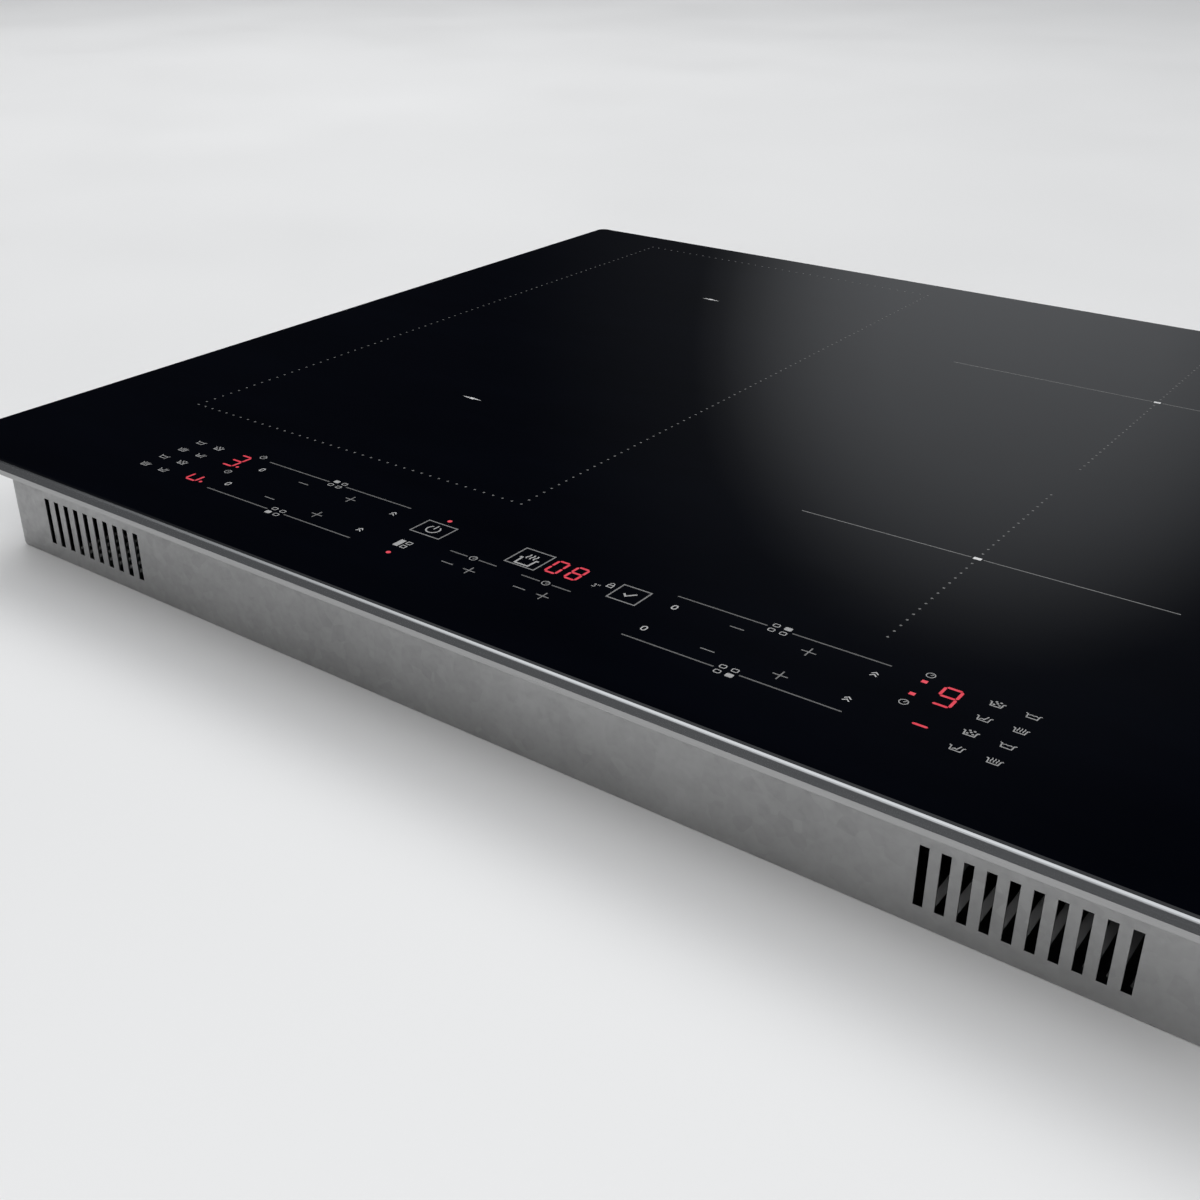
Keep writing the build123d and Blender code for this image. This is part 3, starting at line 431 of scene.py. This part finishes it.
def clock(ink, x, y):
    """A round face with one hand."""
    ink.stroke(arc(x, y, 1.5, 0, 345, 24), 0.36, True)
    ink.stroke([(x - 0.1, y - 0.1), (x + 0.7, y + 0.75)], 0.34)


def zero(ink, x, y):
    """The figure nought at the low end of a slider."""
    height = 3.2
    w, h = height * 0.33, height / 2
    top = arc(x, y + h - w, w - 0.2, 0, 180, 9)
    bottom = arc(x, y - h + w, w - 0.2, 180, 360, 9)
    ink.stroke(top + bottom, 0.5, True)


def boost(ink, x, y):
    """Two chevrons at the high end of a slider."""
    for rise in (-0.75, 0.75):
        foot, tip = y + rise - 0.6, y + rise + 0.5
        ink.stroke([(x - 1.2, foot), (x, tip), (x + 1.2, foot)], 0.45)


def zone_squares(ink, x, y, filled):
    """Four squares for the four zones, one of them filled."""
    for column in (-1, 1):
        for row in (-1, 1):
            at = (x + column * 2.3, y + row * 1.85)
            if (column, row) == filled:
                ink.polygon(rounded_box(*at, 2.8, 2.3, 0.6))
            else:
                ink.stroke(rounded_box(*at, 2.3, 1.9, 0.55), 0.36, True)


def pan_outline(ink, x, y, line=0.42):
    """A pan in section, open at the top, with turned-out rims."""
    ink.stroke([(x - 2.6, y + 1.0), (x - 1.9, y + 0.7), (x - 1.7, y - 1.5), (x + 1.7, y - 1.5),
                (x + 1.9, y + 0.7), (x + 2.6, y + 1.0)], line)


def boil_icon(ink, x, y):
    """A pan with five bubbles."""
    pan_outline(ink, x, y, 0.5)
    for dx, dy in ((-0.9, -0.5), (0.0, 0.5), (0.9, -0.4), (-0.7, 1.4), (0.8, 1.5)):
        ink.disc(x + dx, y + dy, 0.42, 10)


def melt_icon(ink, x, y):
    """A pan with a spoon in it."""
    pan_outline(ink, x, y)
    spoon = ((-1.2, -0.9), (-0.5, -0.3), (0.2, -0.6), (1.0, 1.6))
    ink.stroke([(x + dx, y + dy) for dx, dy in spoon], 0.42)


def warm_icon(ink, x, y):
    """A pan with a still surface in it."""
    pan_outline(ink, x, y)
    surface = ((-1.5, 0.2), (-0.75, 0.5), (0.0, 0.2), (0.75, 0.5), (1.5, 0.2))
    ink.stroke([(x + dx, y + dy) for dx, dy in surface], 0.36)


def simmer_icon(ink, x, y):
    """A pan with three wisps of steam."""
    pan_outline(ink, x, y)
    for dx in (-0.95, 0, 0.95):
        middle = x + dx
        ink.stroke([(middle, y - 0.8), (middle - 0.15, y), (middle + 0.15, y + 0.8),
                    (middle, y + 1.6)], 0.34)


SEGMENT = 1.05              # bar thickness of a digit
DIGIT_HALF = 2.45           # half the distance between its upright bars
DIGIT_RISE = 4.8            # height of each of its two boxes
SIDE_DIGIT = 1.18           # size of the zone digits beside the timer's
SEGMENT_PLACES = {          # column, row, and whether it stands upright
    "a": (0, 1, False), "g": (0, 0, False), "d": (0, -1, False),
    "b": (1, 0.5, True), "c": (1, -0.5, True), "e": (-1, -0.5, True), "f": (-1, 0.5, True),
}
DIGITS = {"0": "abcdef", "3": "abcdg", "8": "abcdefg", "9": "abcdfg", "low_u": "cde", "bar": "g"}


def segment(ink, x, y, length, upright):
    a, b = length / 2, SEGMENT / 2
    outline = [(-a, 0), (-a + b, -b), (a - b, -b), (a, 0), (a - b, b), (-a + b, b)]
    if upright:
        outline = [(-v, u) for u, v in outline]
    ink.polygon([(x + u, y + v) for u, v in outline])


def digit(ink, x, y, sign, size=1.0):
    gap = 0.35
    half, rise = DIGIT_HALF * size, DIGIT_RISE * size
    for letter in DIGITS[sign]:
        column, row, upright = SEGMENT_PLACES[letter]
        length = (rise if upright else 2 * half) - gap
        segment(ink, x + column * half, y + row * rise, length, upright)


# ---------------------------------------------------------------- the printed layout
GRID = 5.0                                  # pitch of every dotted line
DOT = 0.52                                  # radius of its dots
CONTROL_Y = 50.2                            # middle line of the controls
SLIDER_RISE = 17.3                          # middle line to a slider's line
SLIDER_GAP = 4.9                            # half of the gap in it for the zone squares
KEY_RISE = 9.4                              # middle line to a slider's signs
LEFT_SLIDER = (143.5, 227.0, 185.1)         # start, end, middle of the zone squares
RIGHT_SLIDER = (356.5, 440.2, 398.3)
FLEX_LEFT, FLEX_RIGHT, FLEX_FRONT = 60.0, 260.0, 97.5
FLEX_ROWS = 77
FLEX_MIDDLES = (0.22, 0.78)                 # its two marks, as shares of its depth
CENTRE_ZONES = ((430.2, 159.7, 15), (430.2, 373.7, 21))     # middle and reach in grid steps
TIMERS = (277.5, 312.2)                     # middles of the two timer lines
TIMER_Y = CONTROL_Y - 2.7
POWER_KEY, COOK_KEY, OK_KEY = (248.1, 57.9), (295.0, 59.8), (342.0, 57.9)
LAMP_X = 453.0                              # column of clocks and lamps beside the right digits
LEFT_CLOCK_X = 137.0                        # column of clocks beside the left digits
LEFT_DIGIT_X, RIGHT_DIGIT_X = 130.6, 463.0
UPPER_DIGIT_Y, LOWER_DIGIT_Y = CONTROL_Y + 10.0, CONTROL_Y - 10.1


def zone_dots():
    ink = Print()
    columns = round((FLEX_RIGHT - FLEX_LEFT) / GRID)
    rear = FLEX_FRONT + FLEX_ROWS * GRID
    for i in range(columns + 1):
        for y in (FLEX_FRONT, rear):
            ink.disc(FLEX_LEFT + i * GRID, y, DOT, 10)
    for i in range(1, FLEX_ROWS):
        for x in (FLEX_LEFT, FLEX_RIGHT):
            ink.disc(x, FLEX_FRONT + i * GRID, DOT, 10)
    for x, y, reach in CENTRE_ZONES:
        for i in range(1, reach + 1):
            ink.disc(x, y + i * GRID, DOT, 10)
            ink.disc(x, y - i * GRID, DOT, 10)
    ink.piece("zone_dots", enamel("enamel_dots", grey(0.13), grey(0.19)))


def zone_lines():
    ink = Print()
    for x, y, reach in CENTRE_ZONES:
        gap = 2.4
        length = reach * GRID - gap
        for side in (-1, 1):
            ink.bar(x + side * (gap + length / 2), y, length, LINE)
    ink.piece("zone_lines", enamel("enamel_zone_lines", grey(0.17), grey(0.23)))


def zone_centres():
    ink = Print()
    for x, y, _ in CENTRE_ZONES:
        ink.bar(x, y, 3.2, 1.9)
    flex_x = (FLEX_LEFT + FLEX_RIGHT) / 2
    depth = FLEX_ROWS * GRID
    for share in FLEX_MIDDLES:
        y = FLEX_FRONT + depth * share
        ink.bar(flex_x, y, 2.8, 1.7)
        for side in (-1, 1):
            x = flex_x + side * 1.8
            tip = flex_x + side * 6.0
            ink.polygon([(x, y - 0.55 * side), (tip, y), (x, y + 0.55 * side)])
    ink.piece("zone_centres", enamel("enamel_bright", grey(0.62), grey(0.80)))


def slider_lines():
    ink = Print()
    width = 0.62
    for start, end, middle in (LEFT_SLIDER, RIGHT_SLIDER):
        left_end, right_start = middle - SLIDER_GAP, middle + SLIDER_GAP
        for side in (-1, 1):
            y = CONTROL_Y + side * SLIDER_RISE
            ink.bar((start + left_end) / 2, y, left_end - start, width)
            ink.bar((right_start + end) / 2, y, end - right_start, width)
    for x in TIMERS:
        for side in (-1, 1):
            ink.bar(x + side * 7.1, TIMER_Y, 8.6, width)
    ink.piece("slider_lines", enamel("enamel_lines", grey(0.105), grey(0.145)))


def slider_signs():
    ink = Print()
    for start, end, middle in (LEFT_SLIDER, RIGHT_SLIDER):
        for side in (-1, 1):
            y = CONTROL_Y + side * KEY_RISE
            zero(ink, start + 3.9, y)
            boost(ink, end - 2.2, y)
    ink.piece("slider_signs", enamel("enamel_signs", grey(0.38), grey(0.50)))


def step_signs():
    ink = Print()
    for _, _, middle in (LEFT_SLIDER, RIGHT_SLIDER):
        for side in (-1, 1):
            minus(ink, middle - 12.3, CONTROL_Y + side * KEY_RISE)
            plus(ink, middle + 15.5, CONTROL_Y + side * KEY_RISE)
    for x in TIMERS:
        minus(ink, x - 5.4, CONTROL_Y - 11.4)
        plus(ink, x + 5.4, CONTROL_Y - 11.4)
    ink.piece("step_signs", enamel("enamel_steps", grey(0.16), grey(0.22)))


def clocks():
    ink = Print()
    for x in TIMERS:
        clock(ink, x, TIMER_Y)
    for x in (LEFT_CLOCK_X, LAMP_X):
        for side in (-1, 1):
            clock(ink, x, CONTROL_Y + 9.4 + side * 10.0)
    ink.piece("clocks", enamel("enamel_clocks", grey(0.27), grey(0.35)))


def zone_selectors():
    ink = Print()
    for (_, _, middle), column in ((LEFT_SLIDER, -1), (RIGHT_SLIDER, 1)):
        for row in (-1, 1):
            zone_squares(ink, middle, CONTROL_Y + row * SLIDER_RISE, (column, row))
    ink.piece("zone_selectors", enamel("enamel_selectors", grey(0.32), grey(0.42)))


def key_frames():
    ink = Print()
    for key, width, height in ((POWER_KEY, 15.4, 11.9), (COOK_KEY, 14.4, 14.1), (OK_KEY, 12.7, 11.9)):
        ink.box(*key, width, height, 0.6)
    ink.piece("key_frames", enamel("enamel_frames", grey(0.18), grey(0.24)))


def power_sign(ink, x, y):
    """A ring open at the top, with a stroke in its gap."""
    ink.stroke(arc(x, y, 2.9, 125, 415, 28), 0.6)
    ink.bar(x, y + 1.9, 0.6, 3.4)


def joined_zones_sign(ink, x, y):
    """One long zone beside two short ones."""
    ink.bar(x - 1.7, y, 2.5, 5.6)
    for side in (-1, 1):
        ink.box(x + 1.9, y + side * 1.7, 2.6, 2.3, 0.42)


def steaming_pot_sign(ink, x, y):
    ink.stroke([(x - 4.4, y + 1.4), (x - 3.3, y + 1.4), (x - 3.1, y - 3.6),
                (x + 3.1, y - 3.6), (x + 3.3, y + 1.4), (x + 4.4, y + 1.4)], 0.85)
    for dx in (-1.7, 0.0, 1.7):
        middle = x + dx
        ink.stroke([(middle, y + 1.4), (middle - 0.35, y + 2.6),
                    (middle + 0.35, y + 3.9), (middle, y + 5.1)], 0.6)


def padlock_sign(ink, x, y):
    ink.box(x, y, 2.7, 2.2, 0.45)
    shackle = arc(x, y + 1.6, 0.85, 0, 180, 9)
    ink.stroke([(x + 0.85, y + 1.1)] + shackle + [(x - 0.85, y + 1.1)], 0.36)


def three_seconds_sign(ink, x, y):
    """The figure 3 with two small strokes."""
    ink.stroke(arc(x, y, 0.5, 150, -90, 8) + arc(x, y - 1.1, 0.6, 90, -150, 8), 0.3)
    for dx in (1.3, 2.0):
        ink.bar(x + dx, y + 0.3, 0.3, 0.8)


def key_signs():
    """Power, joined zones, assisted cooking, lock and confirm, each as a plain pictogram."""
    ink = Print()
    power_sign(ink, 247.9, 57.8)
    joined_zones_sign(ink, 247.3, 41.1)
    steaming_pot_sign(ink, 295.0, 58.0)
    padlock_sign(ink, 332.4, 59.4)
    three_seconds_sign(ink, 327.2, 57.4)
    tick = ((339.9, 57.9), (341.4, 56.3), (344.4, 59.6))
    ink.stroke(tick, 0.75)
    ink.piece("key_signs", enamel("enamel_key_signs", grey(0.32), grey(0.42)))


def cooking_icons():
    """Two columns of pans at each end of the controls, four rows each."""
    ink = Print()
    inner, outer = (boil_icon, melt_icon), (warm_icon, simmer_icon)
    rows = [CONTROL_Y + 15.2 - 10.15 * i for i in range(4)]
    for i, y in enumerate(rows):
        for inner_x, outer_x, drop in ((477.2, 488.9, 0.0), (113.0, 101.2, 0.4)):
            inner[i % 2](ink, inner_x, y - drop)
            outer[i % 2](ink, outer_x, y - drop)
    ink.piece("cooking_icons", enamel("enamel_icons", grey(0.26), grey(0.36)))


def lit_digits():
    """The zones' digits with their points, and the timer's between them."""
    glow = Print()
    digit(glow, LEFT_DIGIT_X, UPPER_DIGIT_Y, "3", SIDE_DIGIT)
    digit(glow, LEFT_DIGIT_X, LOWER_DIGIT_Y, "low_u", SIDE_DIGIT)
    for y in (CONTROL_Y + 5.2, CONTROL_Y - 14.8):
        glow.disc(136.2, y, 0.75, 14)
    digit(glow, 307.7, UPPER_DIGIT_Y, "0")
    digit(glow, 316.7, UPPER_DIGIT_Y, "8")
    digit(glow, RIGHT_DIGIT_X, UPPER_DIGIT_Y, "9", SIDE_DIGIT)
    digit(glow, RIGHT_DIGIT_X, LOWER_DIGIT_Y, "bar", SIDE_DIGIT)
    glow.piece("lit_digits", lit("red_digits", (1.0, 0.07, 0.11), (1.0, 0.13, 0.18), 0.60))


def lit_lamps():
    """A round lamp behind the power key and one before the joined zones, and two square ones
    beside the right digits."""
    glow = Print()
    for y in (67.4, 32.5):
        glow.disc(248.0, y, 1.0, 20)
    for y in (64.8, 55.7):
        glow.bar(LAMP_X, y, 2.0, 1.7)
    glow.piece("lit_lamps", lit("red_lamps", (1.0, 0.08, 0.12), (1.0, 0.16, 0.21), 0.66))


# ---------------------------------------------------------------- the front trim
TRIM_EDGES = (                              # depth from the front, height from the top, corner radius
    (0.0, 4.95, 0.3), (7.9, 4.95, 0.1), (7.9, 3.75, 0.1), (3.4, 3.75, 0.1),
    (3.4, 0.12, 0.03), (3.18, 0.0, 0.1), (2.0, 0.35, 1.3), (0.0, 2.35, 0.3),
)
ROUND_STEPS = 8                             # faces in each of its rounded corners
POLISHED_TILT, CHAMFER_TILT = 0.95, 0.3     # a face is one of these when it points up more than this
# Copies of one steel, picked by tilt: the lip's copy is painted lighter as a painted highlight, and the
# chamfer's and the face's copies are painted darker as painted shade, besides their real difference in
# polish
TRIM_LIT_AND_SHADED_FINISHES = (("trim_polish_painted_highlight", 0.74, 0.14), ("trim_chamfer_painted_shade", 0.50, 0.22), ("trim_satin_painted_shade", 0.39, 0.32))


def rounded_corner(before, corner, after, radius):
    """Points of an arc tangent to both sides of a corner."""
    here = Vector(corner)
    to_before = (Vector(before) - here).normalized()
    to_after = (Vector(after) - here).normalized()
    half = to_before.angle(to_after) / 2
    middle = here + (to_before + to_after).normalized() * (radius / math.sin(half))
    start = here + to_before * (radius / math.tan(half)) - middle
    end = here + to_after * (radius / math.tan(half)) - middle
    steps = [start.lerp(end, i / ROUND_STEPS) for i in range(ROUND_STEPS + 1)]
    return [middle + step.normalized() * radius for step in steps]


def trim_outline():
    """The strip's rounded section, as y and z."""
    places = [(depth, height) for depth, height, _ in TRIM_EDGES]
    outline = []
    for i, (_, _, radius) in enumerate(TRIM_EDGES):
        after = places[(i + 1) % len(places)]
        outline += rounded_corner(places[i - 1], places[i], after, radius)
    return [(TRIM_LOW.y + p.x * MM, TRIM_HIGH.z - p.y * MM) for p in outline]


def front_trim():
    """The drawn strip with its edges rounded as they are on the real metal. Its faces take lighter or
    darker copies of the steel by their tilt: painted highlight on the lip, painted shade on the chamfer
    and the upright face.
    """
    outline = trim_outline()
    mesh = bmesh.new()
    margin = 0.3 * MM
    places = (TRIM_LOW.x, TRIM_LOW.x + margin, TRIM_HIGH.x - margin, TRIM_HIGH.x)
    rings = [[mesh.verts.new((x, y, z)) for y, z in outline] for x in places]
    for left, right in zip(rings, rings[1:]):
        for i in range(len(outline)):
            j = (i + 1) % len(outline)
            in_arc = i % (ROUND_STEPS + 1) < ROUND_STEPS
            mesh.faces.new((left[i], left[j], right[j], right[i])).smooth = in_arc
    mesh.faces.new(rings[0])
    mesh.faces.new(rings[-1])
    bmesh.ops.recalc_face_normals(mesh, faces=mesh.faces)
    # Each face takes the copy that its tilt picks, so its painted highlight or painted shade follows
    # which way it points
    polished, chamfer, satin = range(len(TRIM_LIT_AND_SHADED_FINISHES))
    for face in mesh.faces:
        if face.normal.z > POLISHED_TILT:
            face.material_index = polished
        elif face.normal.z > CHAMFER_TILT:
            face.material_index = chamfer
        else:
            face.material_index = satin
    data = bpy.data.meshes.new("front_trim_strip")
    mesh.to_mesh(data)
    mesh.free()
    for finish in TRIM_LIT_AND_SHADED_FINISHES:
        data.materials.append(trim_metal(*finish).material)
    obj = placed("front_trim_strip", data)
    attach(obj, ROOT)
    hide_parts("front_trim")


# ---------------------------------------------------------------- studio
def floor():
    """Pale plane, clear from its back and open under the pan, so that the underside can be looked at.

    Behind the pan's floor slots it goes on inside the sheet, so that no light comes up through them.
    """
    half = 7.0
    low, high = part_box("lower_pan")
    inset, rib_end, front_depth, rear_start = 4 * MM, 176 * MM, 50 * MM, 100 * MM
    lid_height = 0.35 * MM
    x0, x1, y0, y1 = low.x + inset, high.x - inset, low.y + inset, high.y - inset
    lids = (
        (x0, -rib_end, y0, y0 + front_depth), (rib_end, x1, y0, y0 + front_depth),
        (x0, x1, rear_start, y1),
    )
    corners, faces = [], [(i, (i + 1) % 4, (i + 1) % 4 + 4, i + 4) for i in range(4)]
    for a, b, c, d in ((-half, half, -half, half), (x0, x1, y0, y1)):
        corners += [(a, c, 0), (b, c, 0), (b, d, 0), (a, d, 0)]
    for a, b, c, d in lids:
        first = len(corners)
        corners += [(x, y, lid_height) for x, y in ((a, c), (b, c), (b, d), (a, d))]
        faces.append(tuple(range(first, first + 4)))
    mesh = bpy.data.meshes.new("studio_floor")
    mesh.from_pydata(corners, [], faces)
    mesh.materials.append(floor_finish().material)
    placed("studio_floor", mesh)


def floor_finish():
    """Matt pale surface. Its back face is clear."""
    f = Finish("studio_floor")
    f.colour(f.noise(0.8, 3), grey(0.80), grey(0.84))
    f.roughness(f.noise(4, 2), 0.55, 0.7)
    new = f.tree.nodes.new
    one_sided = new("ShaderNodeMixShader")
    output = next(n for n in f.tree.nodes if n.type == "OUTPUT_MATERIAL")
    f.link(new("ShaderNodeNewGeometry").outputs["Backfacing"], one_sided.inputs["Fac"])
    f.link(f.shader.outputs["BSDF"], one_sided.inputs[1])
    f.link(new("ShaderNodeBsdfTransparent").outputs["BSDF"], one_sided.inputs[2])
    f.link(one_sided.outputs["Shader"], output.inputs["Surface"])
    return f


def lobe(tree, direction, centre, start, end, radiance):
    """A soft patch of sky round one direction, given by the cosines where it starts and ends."""
    angle = tree.nodes.new("ShaderNodeVectorMath")
    angle.operation = "DOT_PRODUCT"
    angle.inputs[1].default_value = Vector(centre).normalized()
    tree.links.new(direction, angle.inputs[0])
    patch = tree.nodes.new("ShaderNodeValToRGB")
    patch.color_ramp.interpolation = "EASE"
    first, last = patch.color_ramp.elements
    first.position, last.position = start, end
    first.color = (0, 0, 0, 1)
    last.color = (*(radiance * part for part in SKY_TINT), 1)
    tree.links.new(angle.outputs["Value"], patch.inputs["Fac"])
    return patch.outputs["Color"]


def added(tree, first, second):
    """Sum of two colour outputs of the world's tree."""
    node = tree.nodes.new("ShaderNodeVectorMath")
    node.operation = "ADD"
    tree.links.new(first, node.inputs[0])
    tree.links.new(second, node.inputs[1])
    return node.outputs["Vector"]


SKY_TINT = (0.97, 1.0, 1.035)
ROOM = (0.007, 0.0075, 0.010, 1)            # light from everywhere else
BACKDROP = (0.80, 0.81, 0.81, 1)            # what stands behind the object beyond the floor
SKY_PATCHES = (                             # middle, cosines where it starts and ends, radiance
    ((-0.30, 0.15, 0.94), 0.805, 0.965, 0.85),      # overhead, caught by the trim's lip
    ((-0.50, -0.50, 0.70), 0.55, 0.95, 0.13),       # faint in front, caught by its chamfer
    ((-0.32, 0.90, 0.29), 0.976, 1.0, 0.30),        # window behind, caught by the glass
    ((-0.32, 0.90, 0.29), 0.935, 1.0, 0.030),       # and the wall round it
    ((0.0, 0.0, -1.0), 0.05, 0.5, 0.6),             # for views of the underside
)


def world_light():
    """A dark room with soft patches of light."""
    world = bpy.data.worlds.new("studio")
    bpy.context.scene.world = world
    world.use_nodes = True
    tree = world.node_tree
    tree.nodes.clear()
    new = tree.nodes.new
    direction = new("ShaderNodeTexCoord").outputs["Generated"]
    room = new("ShaderNodeRGB")
    room.outputs[0].default_value = ROOM
    total = room.outputs[0]
    for patch in SKY_PATCHES:
        total = added(tree, total, lobe(tree, direction, *patch))
    lit_sky = new("ShaderNodeBackground")
    tree.links.new(total, lit_sky.inputs["Color"])
    backdrop = new("ShaderNodeBackground")
    backdrop.inputs["Color"].default_value = BACKDROP
    mix = new("ShaderNodeMixShader")
    tree.links.new(new("ShaderNodeLightPath").outputs["Is Camera Ray"], mix.inputs["Fac"])
    tree.links.new(lit_sky.outputs["Background"], mix.inputs[1])
    tree.links.new(backdrop.outputs["Background"], mix.inputs[2])
    output = new("ShaderNodeOutputWorld")
    tree.links.new(mix.outputs["Shader"], output.inputs["Surface"])


def even_light(strength):
    """Wide soft light from above that keeps the far floor as pale as the near floor."""
    data = bpy.data.lights.new("even_light", "SUN")
    data.energy = strength
    data.angle = math.radians(110)
    obj = placed("even_light", data)
    obj.rotation_euler = (math.radians(8), math.radians(-12), 0)
    obj.visible_glossy = False


def softbox(name, place, side, power):
    """Square lamp that faces the object's origin and isn't seen in glossy surfaces."""
    data = bpy.data.lights.new(name, "AREA")
    data.shape = "RECTANGLE"
    data.size = data.size_y = side
    data.energy = power
    obj = placed(name, data)
    obj.location = place
    obj.rotation_euler = (-Vector(place)).to_track_quat("-Z", "Y").to_euler()
    obj.visible_glossy = False
    obj.visible_camera = False


def camera():
    """The viewpoint is set by the glass: in front of its right half, looking down to the left."""
    from_left_edge, before_print, above_glass = 0.6029, 0.3133, 0.2349
    down, left = 27.58, 36.42               # degrees
    data = bpy.data.cameras.new("camera")
    data.lens = 42.88
    data.sensor_width = 36.0
    obj = placed("camera", data)
    obj.location = (GLASS_LOW.x + from_left_edge, PRINT_FRONT - before_print, GLASS_HIGH.z + above_glass)
    obj.rotation_euler = (math.radians(90 - down), 0, math.radians(left))
    bpy.context.scene.camera = obj


dress_cad_nodes()
front_trim()
zone_dots()
zone_lines()
zone_centres()
slider_lines()
slider_signs()
step_signs()
clocks()
zone_selectors()
key_frames()
key_signs()
cooking_icons()
lit_digits()
lit_lamps()
floor()
world_light()
even_light(1.15)
softbox("key_light", (-1.6, 1.2, 2.4), 1.8, 30)
softbox("fill_light", (1.8, -1.6, 2.2), 2.2, 36)
camera()
bpy.context.scene.view_settings.view_transform = "Standard"
